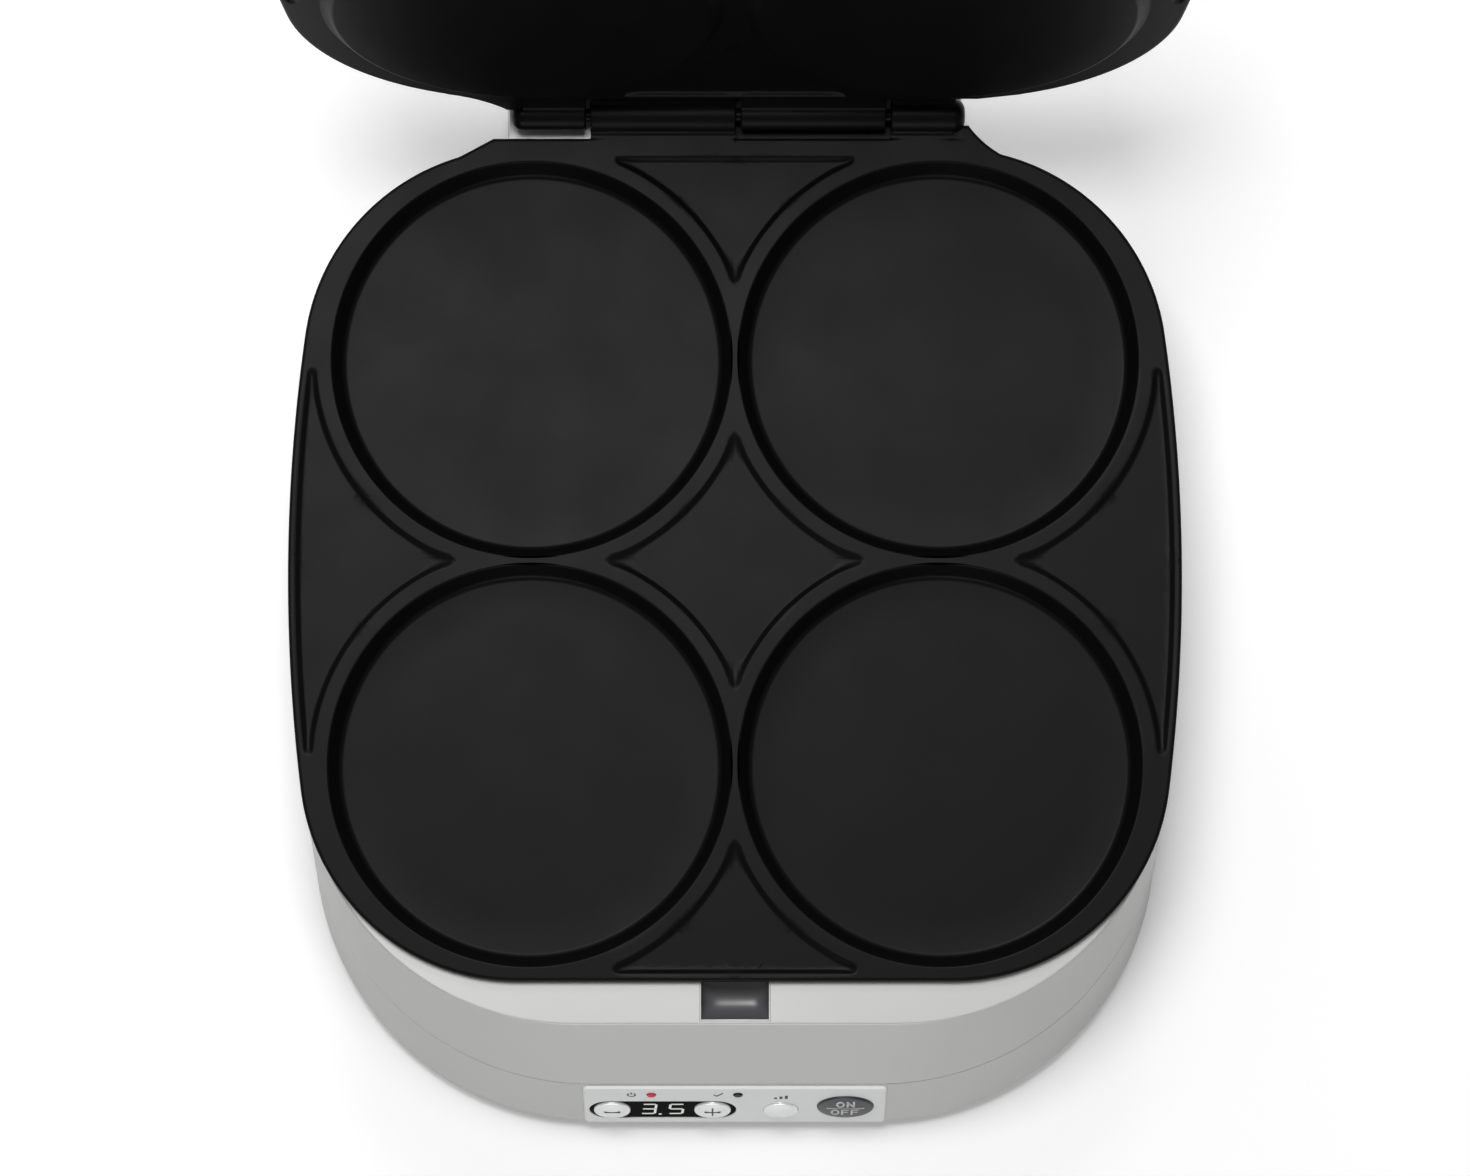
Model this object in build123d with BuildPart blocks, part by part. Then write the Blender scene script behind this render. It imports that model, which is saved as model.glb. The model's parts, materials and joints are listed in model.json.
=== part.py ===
from build123d import *
from math import atan, cos, radians, sin, sqrt
import os

# Electric pancake maker for four pancakes, lid open, in millimetres.
# X runs to the right, Y to the back and Z up. The origin lies on the table, under the middle
# of the open appliance; the plates' own centre lies plate_setback in front of it.

os.makedirs("parts", exist_ok=True)

# Cutting and fitting
overrun = 1.0
slip_gap = 0.3
fine_gap = 0.1

# Wells and plates
lower_rim_radius = 73.6
lower_wall_lean = 3.6
lower_floor_radius = lower_rim_radius - lower_wall_lean
lower_well_depth = 9.0
pad_inset = 2.6
pad_foot_radius = lower_rim_radius - pad_inset
pad_height = 4.0
pad_lean = 45.0
pad_round = 1.5
well_spacing = 2.8
well_pitch = 2 * lower_rim_radius + well_spacing
well_corner = 2.5
casting_wall = 3.0
flange_thickness = 4.0
upper_land = 3.0
upper_land_inset = 1.0
upper_land_radius = pad_foot_radius - upper_land_inset
side_land = 15.4
end_land = 5.4
corner_land = 6.4
plate_half_width = well_pitch / 2 + lower_rim_radius + side_land
plate_half_depth = well_pitch / 2 + lower_rim_radius + end_land
plate_corner = lower_rim_radius + corner_land
side_bow_share = 4.22
side_bow_radius = side_bow_share * plate_half_depth
upper_rear_inset = 1.5
plate_gap = 0.5

# Shallow panels in the plates' face
panel_ring = 5.4
panel_ring_radius = lower_rim_radius + panel_ring
panel_depth = 1.4
panel_border = 2.4
panel_round = 1.5
side_panel_short = 3.0
side_panel_reach = well_pitch / 2 - side_panel_short
end_panel_height = 3.5

# Bosses on the plates' back
boss_radius = 5.0
boss_length = 10.0
boss_side_inset = 34.0
boss_side = plate_half_width - boss_side_inset
boss_end_inset = 26.0
boss_end = plate_half_depth - boss_end_inset
boss_pilot_radius = 1.6

# Hinge, with its barrels in a row: lid, base, lid, base from the left
plate_top = 78.0
plate_setback = 35.822
hinge_offset = 12.0
hinge_back = plate_half_depth + hinge_offset
hinge_rise = 0.4
lower_barrel_radius = 6.1
upper_barrel_radius = 5.4
barrel_gap = 1.8
barrel_notch_gap = 2.4
hinge_shift = 1.2
inner_barrel = 53.8
outer_barrel = 27.4
middle_gap = barrel_gap / 2
base_inner_span = (hinge_shift - middle_gap - inner_barrel, hinge_shift - middle_gap)
lid_inner_span = (hinge_shift + middle_gap, hinge_shift + middle_gap + inner_barrel)
base_outer_span = (lid_inner_span[1] + barrel_gap, lid_inner_span[1] + barrel_gap + outer_barrel)
lid_outer_span = (base_inner_span[0] - barrel_gap - outer_barrel, base_inner_span[0] - barrel_gap)
cap_length = 4.4
cap_round = 4.0
cap_spigot = 4.0
pin_radius = 2.5
pin_gap = 0.05
pin_edge = 0.5
tab_shoulder = 4.4
tab_half = base_outer_span[1] + tab_shoulder
tab_spread = 17.5
tab_root_half = tab_half + tab_spread
tab_root_inset = 6.0
tab_root = plate_half_depth - tab_root_inset
tip_land = 1.5
tip_drop = 3.5
tip_hollow = 2.1
shelf_gap = 0.5
shelf_thickness = 2.0
shelf_overlap = 3.0
shelf_back = 3.0
open_angle = 102.2

# Base housing
foot_height = 6.0
seam_height = 38.0
seam_gap = 0.4
wall = 2.5
ledge_inset = 0.5
side_flare_upper = 2.0
side_flare_lower = 2.5
front_ledge = 15.3
front_rake_upper = 21.2
front_rake_lower = 13.8
ledge_front = plate_half_depth + front_ledge
seam_front = ledge_front + front_rake_upper
sill_front = seam_front + front_rake_lower
rear_rake_upper = 4.5
rear_rake_lower = 4.0
ledge_rear = plate_half_depth - ledge_inset
seam_rear = ledge_rear + rear_rake_upper
sill_rear = seam_rear + rear_rake_lower
ledge_corner_step = 20.0
front_corner_step = 5.5
ledge_front_corner = plate_corner + ledge_corner_step
seam_front_corner = ledge_front_corner + front_corner_step
sill_front_corner = seam_front_corner
rear_corner_step = 4.0
ledge_rear_corner = plate_corner
seam_rear_corner = ledge_rear_corner + rear_corner_step
sill_rear_corner = seam_rear_corner + rear_corner_step
ledge_round = 1.0
sill_round = 1.5
opening_gap = 0.8
neck_inset = 6.0
neck_half = tab_half - neck_inset
neck_flare_upper = 2.0
neck_flare_lower = 2.0
neck_root_step = 3.0
neck_root_half = tab_root_half - neck_root_step
neck_root_inset = 14.0
neck_root = plate_half_depth - neck_root_inset
neck_start_offset = 6.0
neck_start = plate_half_depth + neck_start_offset
neck_reach = 24.0
neck_rake_upper = 2.5
neck_drop = 8.6
neck_corner = 6.0
lip_thickness = 1.3
lip_height = 4.0
lip_root = 3.5
lug_thickness = 4.0
lug_half = 9.0
pillar_radius = 4.5
pillar_joint = 20.0
side_pillar_inset = 10.0
side_pillar_back = 30.0
side_pillar = (plate_half_width - side_pillar_inset, side_pillar_back)
front_pillar_side = 70.0
front_pillar_offset = 4.0
front_pillar = (front_pillar_side, -plate_half_depth - front_pillar_offset)
rear_pillar_side = 62.0
rear_pillar_offset = 10.0
rear_pillar = (rear_pillar_side, hinge_back + rear_pillar_offset)
rib_thickness = 2.4
bulkhead_drop = 18.0
vent_place = (-70.0, 10.0)
vent_length = 26.0
vent_width = 3.0
vent_land = 4.0
vent_columns = 3
vent_rows = 10
screw_sink = 5.0

# Finger recess in the ledge
recess_half = 12.3
recess_back_inset = 1.4
recess_back = plate_half_depth - recess_back_inset
recess_lip = 1.7
recess_front = ledge_front - recess_lip
recess_depth = 7.5
recess_wall = 1.4
recess_flange = 1.2

# Feet and screws
foot_radius = 11.0
foot_stem_radius = 4.0
foot_barb = 1.0
front_foot_inset = (46.0, 4.0)
front_foot = (plate_half_width - front_foot_inset[0], front_foot_inset[1] - plate_half_depth)
rear_foot_inset = (48.0, 42.0)
rear_foot = (plate_half_width - rear_foot_inset[0], plate_half_depth - rear_foot_inset[1])
screw_radius = 1.5
screw_head_radius = 3.0
screw_head_height = 2.0
screw_length = 14.0
screw_slot = 0.8
foot_round = 1.5
foot_barb_height = 2.0
foot_barb_taper = 20.0
board_screw_radius = 1.0
board_screw_head_radius = 2.2
board_screw_head = 1.5
board_screw_length = 6.0

# Control panel on the front face
panel_width = 113.0
panel_height = 31.4
panel_thickness = 2.2
panel_proud = 1.0
panel_corner = 2.0
panel_bevel = 0.7
window_cut_width = 109.4
window_cut_low = -12.9
window_cut_high = 12.5
pill_width = 55.0
pill_height = 15.2
pill_centre = (-27.0, -3.7)
window_flange = 0.9
window_thickness = 0.8
button_radius = 6.7
extra_radius = 6.4
button_flange = 0.9
button_flange_thickness = 0.9
button_proud = 1.2
button_round = 1.1
button_stem_radius = 2.2
button_travel = 0.8
minus_place = (-45.9, -3.7)
plus_place = (-8.4, -3.7)
extra_place = (17.1, -3.7)
start_place = (41.2, -0.5)
start_half_width = 10.4
start_half_height = 8.9
lamp_radius = 1.8
lamp_proud = 0.5
lamp_round = 0.6
power_lamp_place = (-31.1, 9.8)
ready_lamp_place = (1.1, 9.8)

# Electronics
board_depth = 10.0
board_thickness = 1.6
board_width = 108.0
board_low = -9.3
board_high = 11.7
post_radius = 2.0
post_places = ((-51.0, 9.0), (51.0, 9.0), (5.2, -6.6), (27.4, -6.8))
switch_side = 6.0
switch_height = 3.6
switch_plunger_radius = 1.7
switch_plunger = 0.5
display_width = 18.6
display_height = 11.6
display_centre = (-26.7, -3.7)
power_board_width = 110.0
power_board_length = 62.0
power_board_place = (55.0, 35.0)
standoff_radius = 3.0
standoff_height = 6.0
relay_width = 19.0
relay_length = 15.5
relay_height = 15.0
relay_edge = 1.0
relay_place = (24.0, 42.0)
transformer_place = (78.0, 36.0)
transformer_width = 30.0
transformer_length = 26.0
transformer_height = 21.0
transformer_coil_width = 34.0
transformer_coil_length = 14.0
transformer_coil_height = 19.0
terminal_hole_radius = 1.8
terminal_hole_depth = 6.5
terminal_hole_spacing = 11.0
terminal_row_spacing = 7.0
terminal_width = 34.0
terminal_length = 14.0
terminal_height = 13.0
terminal_side = 45.0
terminal_inset = 8.0
terminal_place = (terminal_side, plate_half_depth - terminal_inset)
terminal_pad = 2.0
standoff_inset = 5.0

# Heating elements, clamps and reflectors
element_radius = 3.3
element_overhang = 13.0
element_loop = well_pitch / 2 + element_overhang
element_bend = 30.0
element_tail = 18.0
element_tail_bend = 12.0
element_tail_length = 18.0
element_end = element_loop + element_tail_length
element_pin_radius = 1.2
element_pin = 7.0
clamp_width = 10.0
clamp_strap = 1.0
clamp_ear = 9.0
clamp_place = 45.0
reflector_side_inset = 11.0
reflector_side = boss_side - reflector_side_inset
reflector_end_inset = 9.0
reflector_end = boss_end - reflector_end_inset
reflector_corner = 30.0
reflector_rim = 17.0
reflector_sheet = 0.8
reflector_drop = 10.0
sensor_radius = 5.0
sensor_stem_radius = 2.5
sensor_flange = 3.0
sensor_height = 6.0
fuse_radius = 2.0
fuse_length = 22.0
fuse_back = 22.0
fuse_lead = 8.0
fuse_lead_radius = 0.5

# Mains cord gland in the rear wall
gland_place = (45.0, 24.0)
gland_radius = 7.0
gland_bore_radius = 3.6
gland_flange_radius = 9.5
gland_flange = 2.5
gland_round = 1.2
gland_clip_radius = 8.4
gland_clip = 2.5
gland_length = 12.0

# Lid housing, heights above the upper plate's rims
lid_frame_top = 22.0
lid_top = 44.0
lid_inset_frame = 3.5
lid_inset_top = 13.0
lid_lip_drop = 4.0
lid_round = 8.0
lid_neck_back = 2.6
lid_neck_low = 9.0
lid_neck_top = 40.0
lid_neck_offset = 4.0
lid_neck_start = plate_half_depth + lid_neck_offset
hook_width = 12.0
hook_thickness = 1.6
hook_head = 1.3
hook_root = 2.5
hook_side = 60.0
hook_front = 45.0


def level(height):
    """Plane parallel to the table at a height, centred on the lower plate."""
    return Plane(origin=(0, -plate_setback, height))


def lid_level(height, down=False):
    """Plane parallel to the open lid's plate, at a height above the shut lower rims."""
    back = Vector(0, cos(radians(open_angle)), -sin(radians(open_angle)))
    up = Vector(0, sin(radians(open_angle)), cos(radians(open_angle)))
    hinge = Vector(0, hinge_back - plate_setback, plate_top + hinge_rise)
    origin = hinge - back * hinge_back + up * (height - hinge_rise)
    if down:
        return Plane(origin=origin, x_dir=(-1, 0, 0), z_dir=up * -1)
    return Plane(origin=origin, x_dir=(1, 0, 0), z_dir=up)


def bow_drop(distance):
    """How far the bowed side has drawn in at a distance from the plate's middle."""
    return side_bow_radius - sqrt(side_bow_radius**2 - distance**2)


def rounded_outline(half_width, front, rear, front_corner, rear_corner):
    """Straight front and rear, bowed sides and round corners."""
    front_half = half_width - bow_drop(front)
    rear_half = half_width - bow_drop(rear)
    with BuildSketch() as shape:
        with BuildLine():
            Line((-front_half, -front), (front_half, -front))
            ThreePointArc((front_half, -front), (half_width, 0), (rear_half, rear))
            Line((rear_half, rear), (-rear_half, rear))
            ThreePointArc((-rear_half, rear), (-half_width, 0), (-front_half, -front))
        make_face()
        fillet(shape.vertices().group_by(Axis.Y)[0], radius=front_corner)
        fillet(shape.vertices().group_by(Axis.Y)[-1], radius=rear_corner)
    return shape.sketch


def between(height, low, high, low_value, high_value):
    """Value at a height on a straight line between two stations."""
    return low_value + (high_value - low_value) * (height - low) / (high - low)


sill_height = foot_height
ledge_height = plate_top - flange_thickness
ledge_half = plate_half_width - ledge_inset
seam_half = ledge_half + side_flare_upper
sill_half = seam_half + side_flare_lower


def base_outline(height, inset=0):
    """Outline of the base housing at a height, drawn in by an inset."""
    if height >= seam_height:
        low, high = seam_height, ledge_height
        sizes = (
            (seam_half, ledge_half),
            (seam_front, ledge_front),
            (seam_rear, ledge_rear),
            (seam_front_corner, ledge_front_corner),
            (seam_rear_corner, ledge_rear_corner),
        )
    else:
        low, high = sill_height, seam_height
        sizes = (
            (sill_half, seam_half),
            (sill_front, seam_front),
            (sill_rear, seam_rear),
            (sill_front_corner, seam_front_corner),
            (sill_rear_corner, seam_rear_corner),
        )
    drawn_in = [between(height, low, high, *pair) - inset for pair in sizes]
    return rounded_outline(*drawn_in)


def neck_outline(height, inset=0):
    """Outline of the base's rear neck at a height, with flared roots."""
    neck_rear = hinge_back + neck_reach
    if height >= seam_height:
        half = between(height, seam_height, ledge_height, neck_half + neck_flare_upper, neck_half)
        rear = between(height, seam_height, ledge_height, neck_rear + neck_rake_upper, neck_rear)
    else:
        half_seam = neck_half + neck_flare_upper
        half = between(height, sill_height, seam_height, half_seam + neck_flare_lower, half_seam)
        rear = neck_rear + neck_rake_upper
    half, rear = half - inset, rear - inset
    with BuildSketch() as shape:
        with BuildLine():
            Polyline(
                (-neck_root_half + inset, neck_root),
                (-half, neck_start),
                (-half, rear),
                (half, rear),
                (half, neck_start),
                (neck_root_half - inset, neck_root),
                close=True,
            )
        make_face()
        fillet(shape.vertices().group_by(Axis.Y)[-1], radius=neck_corner - inset)
    return shape.sketch


cup_radius = lower_floor_radius + casting_wall
boss_places = ((boss_side, 0), (-boss_side, 0), (0, boss_end), (0, -boss_end))


def well_cutter(rim, floor, depth):
    """Solid of one well: a leaning wall, a rounded floor edge and an overrun on top."""
    lean = (rim - floor) / depth
    with BuildPart() as cutter:
        with BuildSketch(Plane.XZ) as section:
            with BuildLine():
                Polyline(
                    (0, overrun),
                    (rim + lean * overrun, overrun),
                    (floor, -depth),
                    (0, -depth),
                    close=True,
                )
            make_face()
            fillet(section.vertices().group_by(Axis.Y)[0].sort_by(Axis.X)[-1], well_corner)
        revolve(axis=Axis.Z)
    return cutter.part


def raised_pad():
    """One of the lid plate's round pads, leaning walled, with a rounded top edge."""
    with BuildPart() as pad:
        with BuildSketch():
            Circle(pad_foot_radius)
        extrude(amount=pad_height, taper=pad_lean)
        fillet(pad.faces().sort_by(Axis.Z)[-1].edges(), radius=pad_round)
    return pad.part


def face_panels(rear):
    """The five shallow panels: one in the middle, one at each edge, between the wells' rings.

    rear is the distance of the plate's rear edge.
    """
    front_edge, rear_edge = panel_border - plate_half_depth, rear - panel_border
    reach = rear_edge - end_panel_height - well_pitch / 2
    end_half = well_pitch / 2 - sqrt(panel_ring_radius**2 - reach**2)
    with BuildSketch() as cross:
        Rectangle(2 * plate_half_width, 2 * side_panel_reach)
        with Locations((0, (front_edge + rear_edge) / 2)):
            Rectangle(2 * end_half, rear_edge - front_edge)
    edges = (plate_half_width, plate_half_depth, plate_half_depth, plate_corner, plate_corner)
    with BuildSketch() as shape:
        add(rounded_outline(*[edge - panel_border for edge in edges]))
        with GridLocations(well_pitch, well_pitch, 2, 2):
            Circle(panel_ring_radius, mode=Mode.SUBTRACT)
        add(cross.sketch, mode=Mode.INTERSECT)
        fillet(shape.vertices(), radius=panel_round)
    return shape.sketch


def barrel_web(span):
    """Rectangle from the plate's tab to the hinge's axis under one barrel."""
    start, end = span
    with BuildSketch() as shape:
        with Locations(((start + end) / 2, (tab_root + hinge_back) / 2)):
            Rectangle(end - start, hinge_back - tab_root)
    return shape.sketch


def rear_tab(edge, barrel_end):
    """The plate's rear tab; right of the outer barrel it runs out in a hollow-sided tip."""
    tip = (barrel_end + cap_length + tip_land, hinge_back - tip_drop)
    with BuildSketch() as shape:
        with BuildLine():
            Polyline(
                (tab_root_half, tab_root),
                (-tab_root_half, tab_root),
                (-tab_half, edge),
                (barrel_end, edge),
                (barrel_end, tip[1]),
                tip,
            )
            SagittaArc(tip, (tab_root_half, tab_root), -tip_hollow)
        make_face()
    return shape.sketch


def cooking_plate(face, rise, land, back, spans, radius, rear, tab_edge):
    """One cast plate, still without wells or pads. The face plane has y to the hinge.

    rise is the hinge axis's height over the face; land is the radius of the four round
    lands behind the wells or pads, and back their depth under the face; spans are the
    barrels' ends along the plane's own x, the outer one first; radius is the barrels';
    rear and tab_edge are the distances of the plate's rear edge and of its tab's.
    """
    panels = face_panels(rear)
    barrel_end = spans[0][1]
    barrel_plane = Plane(
        origin=face.from_local_coords((0, hinge_back, rise)), x_dir=face.y_dir, z_dir=face.x_dir
    )
    with BuildPart() as casting:
        with BuildSketch(face):
            add(rounded_outline(plate_half_width, plate_half_depth, rear, plate_corner, plate_corner))
            add(rear_tab(tab_edge, barrel_end))
            for span in spans:
                add(barrel_web(span))
        extrude(amount=-flange_thickness)
        with BuildSketch(barrel_plane.offset(barrel_end)):
            Circle(radius + slip_gap)
        extrude(amount=cap_length + slip_gap, mode=Mode.SUBTRACT)
        with BuildSketch(face.offset(-flange_thickness)):
            with GridLocations(well_pitch, well_pitch, 2, 2):
                Circle(land)
        extrude(amount=flange_thickness - back)
        with BuildSketch(face.offset(-flange_thickness)):
            with Locations(*boss_places):
                Circle(boss_radius)
        extrude(amount=-boss_length)
        for start, end in spans:
            with BuildSketch(barrel_plane.offset(start)):
                Circle(radius)
            extrude(amount=end - start)
        with BuildSketch(face):
            add(panels)
        extrude(amount=-panel_depth, mode=Mode.SUBTRACT)
        with BuildSketch(face.offset(-flange_thickness - boss_length)):
            with Locations(*boss_places):
                Circle(boss_pilot_radius)
        extrude(amount=boss_length, mode=Mode.SUBTRACT)
        for start, end in spans:
            with BuildSketch(barrel_plane.offset(start - overrun)):
                Circle(pin_radius + pin_gap)
            extrude(amount=end - start + 2 * overrun, mode=Mode.SUBTRACT)
    return casting.part


def heating_element(face, back):
    """Bent tubular element against the four lands, with a pin at each end."""
    drop = back + fine_gap + element_radius
    plane = face.offset(-drop)
    with BuildPart() as element:
        with BuildLine(plane) as route:
            FilletPolyline(
                (-element_tail, -element_end),
                (-element_tail, -element_loop),
                (-element_loop, -element_loop),
                (-element_loop, element_loop),
                (element_loop, element_loop),
                (element_loop, -element_loop),
                (element_tail, -element_loop),
                (element_tail, -element_end),
                radius=[
                    element_tail_bend,
                    element_bend,
                    element_bend,
                    element_bend,
                    element_bend,
                    element_tail_bend,
                ],
            )
        with BuildSketch(route.line ^ 0):
            Circle(element_radius)
        sweep()
        for side in (-1, 1):
            end_plane = Plane(
                origin=plane.from_local_coords((side * element_tail, -element_end, 0)),
                x_dir=plane.x_dir,
                z_dir=plane.y_dir * -1,
            )
            with BuildSketch(end_plane):
                Circle(element_pin_radius)
            extrude(amount=element_pin)
    return element.part


def element_clamps(face, back):
    """Four sheet straps that hold the element against the lands."""
    inner = element_radius + fine_gap
    centre = inner + fine_gap
    outer = inner + clamp_strap
    with BuildSketch() as profile:
        with Locations((0, -centre)):
            Circle(outer)
        with Locations((0, -centre / 2)):
            Rectangle(2 * outer, centre)
        with Locations((0, -clamp_strap / 2)):
            Rectangle(2 * (outer + clamp_ear), clamp_strap)
        with Locations((0, -centre)):
            Circle(inner, mode=Mode.SUBTRACT)
        with Locations((0, -centre / 2)):
            Rectangle(2 * inner, centre, mode=Mode.SUBTRACT)
        Rectangle(2 * outer, outer, align=(Align.CENTER, Align.MIN), mode=Mode.SUBTRACT)
    places = [(x, y) for x in (-element_loop, element_loop) for y in (-clamp_place, clamp_place)]
    with BuildPart() as clamps:
        for x, y in places:
            plane = Plane(
                origin=face.from_local_coords((x, y + clamp_width / 2, -back)),
                x_dir=face.x_dir,
                z_dir=face.y_dir * -1,
            )
            with BuildSketch(plane):
                add(profile.sketch)
            extrude(amount=clamp_width)
    return clamps.part


def reflector(face):
    """Pressed sheet pan that keeps the heat by the plate; its rim is screwed to the lugs."""
    rim = flange_thickness + boss_length + lug_thickness
    with BuildPart() as pan:
        with BuildSketch(face.offset(-rim)):
            RectangleRounded(2 * reflector_side, 2 * reflector_end, reflector_corner)
        extrude(amount=-reflector_drop)
        with BuildSketch(face.offset(-rim)):
            edge_side, edge_end = reflector_side + reflector_rim, reflector_end + reflector_rim
            RectangleRounded(2 * edge_side, 2 * edge_end, reflector_corner + reflector_rim)
        extrude(amount=-reflector_sheet)
        with BuildSketch(face.offset(-rim)):
            inner_side, inner_end = reflector_side - reflector_sheet, reflector_end - reflector_sheet
            RectangleRounded(2 * inner_side, 2 * inner_end, reflector_corner - reflector_sheet)
        extrude(amount=-(reflector_drop - reflector_sheet), mode=Mode.SUBTRACT)
        with BuildSketch(face.offset(-rim)):
            with Locations(*boss_places):
                Circle(screw_radius + fine_gap)
        extrude(amount=-reflector_sheet, mode=Mode.SUBTRACT)
    return pan.part


def screws(plane, places, length):
    """A group of equal screws: heads on the plane, shanks along its z."""
    with BuildPart() as group:
        with BuildSketch(plane):
            with Locations(*places):
                Circle(screw_head_radius)
        extrude(amount=-screw_head_height)
        with BuildSketch(plane):
            with Locations(*places):
                Circle(screw_radius)
        extrude(amount=length)
        with BuildSketch(plane.offset(-screw_head_height)):
            with Locations(*places):
                Rectangle(screw_head_radius, screw_slot)
                Rectangle(screw_slot, screw_head_radius)
        extrude(amount=screw_head_height / 2, mode=Mode.SUBTRACT)
    return group.part


def plate_screws(face):
    """Four screws through the reflector and the housing's lugs into the plate's bosses."""
    seat = flange_thickness + boss_length + lug_thickness + reflector_sheet
    return screws(face.offset(-seat), boss_places, screw_length)


def thermal_fuse(face):
    """Round cut-out fuse lying against the plate's back."""
    plane = Plane(
        origin=face.from_local_coords((-fuse_length / 2, fuse_back, -flange_thickness - fuse_radius)),
        x_dir=face.y_dir,
        z_dir=face.x_dir,
    )
    with BuildPart() as fuse:
        with BuildSketch(plane):
            Circle(fuse_radius)
        extrude(amount=fuse_length)
        with BuildSketch(plane.offset(-fuse_lead)):
            Circle(fuse_lead_radius)
        extrude(amount=fuse_length + 2 * fuse_lead)
    return fuse.part


def plate_opening(radius):
    """Opening that clears the backs of four cups."""
    half = well_pitch / 2 + radius
    with BuildSketch() as shape:
        with GridLocations(well_pitch, well_pitch, 2, 2):
            Circle(radius)
        Rectangle(2 * half, well_pitch)
        Rectangle(well_pitch, 2 * half)
    return shape.sketch


def tapered_block(outline, plane_at, low, high, inset=0):
    """Solid between two outlines of one housing."""
    with BuildPart() as block:
        with BuildSketch(plane_at(low)):
            add(outline(low, inset))
        with BuildSketch(plane_at(high)):
            add(outline(high, inset))
        loft(ruled=True)
    return block.part


def save(part, name):
    """Label one finished piece and write its file."""
    part.label = name
    export_step(part, f"parts/{name}.step")


def seam_lip(outline, plane_at, seam):
    """Inner lip that rises from one housing's rim into the next one."""
    outer = wall + fine_gap
    inner = outer + lip_thickness
    with BuildPart() as lip:
        add(tapered_block(outline, plane_at, seam - seam_gap, seam + lip_height, outer))
        add(tapered_block(outline, plane_at, seam - lip_root, seam - seam_gap, wall - fine_gap))
        add(
            tapered_block(outline, plane_at, seam - lip_root, seam - seam_gap, inner),
            mode=Mode.SUBTRACT,
        )
        add(
            tapered_block(outline, plane_at, seam - seam_gap, seam + lip_height, inner),
            mode=Mode.SUBTRACT,
        )
    return lip.part


def both_sides(place):
    """A place and its mirror image to the left."""
    return (place, (-place[0], place[1]))


def disc(place, radius):
    """Round outline at a place on the panel."""
    with BuildSketch() as shape:
        with Locations(place):
            Circle(radius)
    return shape.sketch


def oval(place, half_width, half_height):
    """Oval outline at a place on the panel."""
    with BuildSketch() as shape:
        with Locations(place):
            Ellipse(half_width, half_height)
    return shape.sketch


def push_button(place, outline, flange_outline, seat):
    """A cap with a rounded crown, a retaining flange under its seat and a stem."""
    flange_top = seat - slip_gap
    with BuildPart() as button:
        with BuildSketch(panel_plane.offset(flange_top)):
            add(outline)
        extrude(amount=crown_top - flange_top)
        fillet(button.faces().sort_by(panel_out)[-1].edges(), radius=button_round)
        with BuildSketch(panel_plane.offset(flange_top)):
            add(flange_outline)
        extrude(amount=-button_flange_thickness)
        with BuildSketch(panel_plane.offset(stem_end)):
            add(disc(place, button_stem_radius))
        extrude(amount=flange_top - stem_end)
    return button.part


def round_button(place, radius, seat):
    """A round push button."""
    return push_button(place, disc(place, radius), disc(place, radius + button_flange), seat)


def lamp(place):
    """Clear rod that stands on the board and shows through the panel."""
    with BuildPart() as rod:
        with BuildSketch(panel_plane.offset(-board_depth)):
            add(disc(place, lamp_radius))
        extrude(amount=board_depth + panel_proud + lamp_proud)
        fillet(rod.faces().sort_by(panel_out)[-1].edges(), radius=lamp_round)
    return rod.part


def pin_cap(plane, radius):
    """Domed cap with a spigot; the plane lies on the barrel's end, z outwards."""
    with BuildPart() as cap:
        with BuildSketch(plane):
            Circle(radius)
        extrude(amount=cap_length)
        fillet(cap.faces().sort_by(Axis(plane.origin, plane.z_dir))[-1].edges(), radius=cap_round)
        with BuildSketch(plane):
            Circle(pin_radius)
        extrude(amount=-cap_spigot)
    return cap.part


def lid_inset(height):
    """How far the lid's outline is drawn in from the plate's outline at a height."""
    if height <= lid_frame_top:
        return between(height, lid_seat, lid_frame_top, ledge_inset, lid_inset_frame)
    return between(height, lid_frame_top, lid_top, lid_inset_frame, lid_inset_top)


def lid_outline(height, inset=0):
    """Outline of the lid at a height above the shut lower rims, drawn in by an inset."""
    drawn_in = lid_inset(height) - ledge_inset + inset
    sizes = (ledge_half, ledge_front, ledge_rear, ledge_front_corner, ledge_rear_corner)
    return rounded_outline(*[size - drawn_in for size in sizes])


def lid_neck_outline(height, inset=0):
    """Outline of the lid's rear neck; its back wall stays square to the plate."""
    drawn_in = lid_inset(height) - ledge_inset + inset
    root_half, half = neck_root_half - drawn_in, neck_half - drawn_in
    rear = hinge_back + lid_neck_back - inset
    with BuildSketch() as shape:
        with BuildLine():
            Polyline(
                (-root_half, neck_root),
                (-half, lid_neck_start),
                (-half, rear),
                (half, rear),
                (half, lid_neck_start),
                (root_half, neck_root),
                close=True,
            )
        make_face()
    return shape.sketch


def lid_band(low, high, outer, inner):
    """Ring between two insets of the lid's outline."""
    with BuildPart() as band:
        add(tapered_block(lid_outline, lid_level, low, high, outer))
        add(tapered_block(lid_outline, lid_level, low, high, inner), mode=Mode.SUBTRACT)
    return band.part


def lid_dome(top, inset, edge_round):
    """Solid cover from the seam to a top height, with its top edge rounded."""
    with BuildPart() as dome:
        add(tapered_block(lid_outline, lid_level, lid_frame_top, top, inset))
        fillet(dome.faces().sort_by(lid_up)[-1].edges(), radius=edge_round)
    return dome.part


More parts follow.
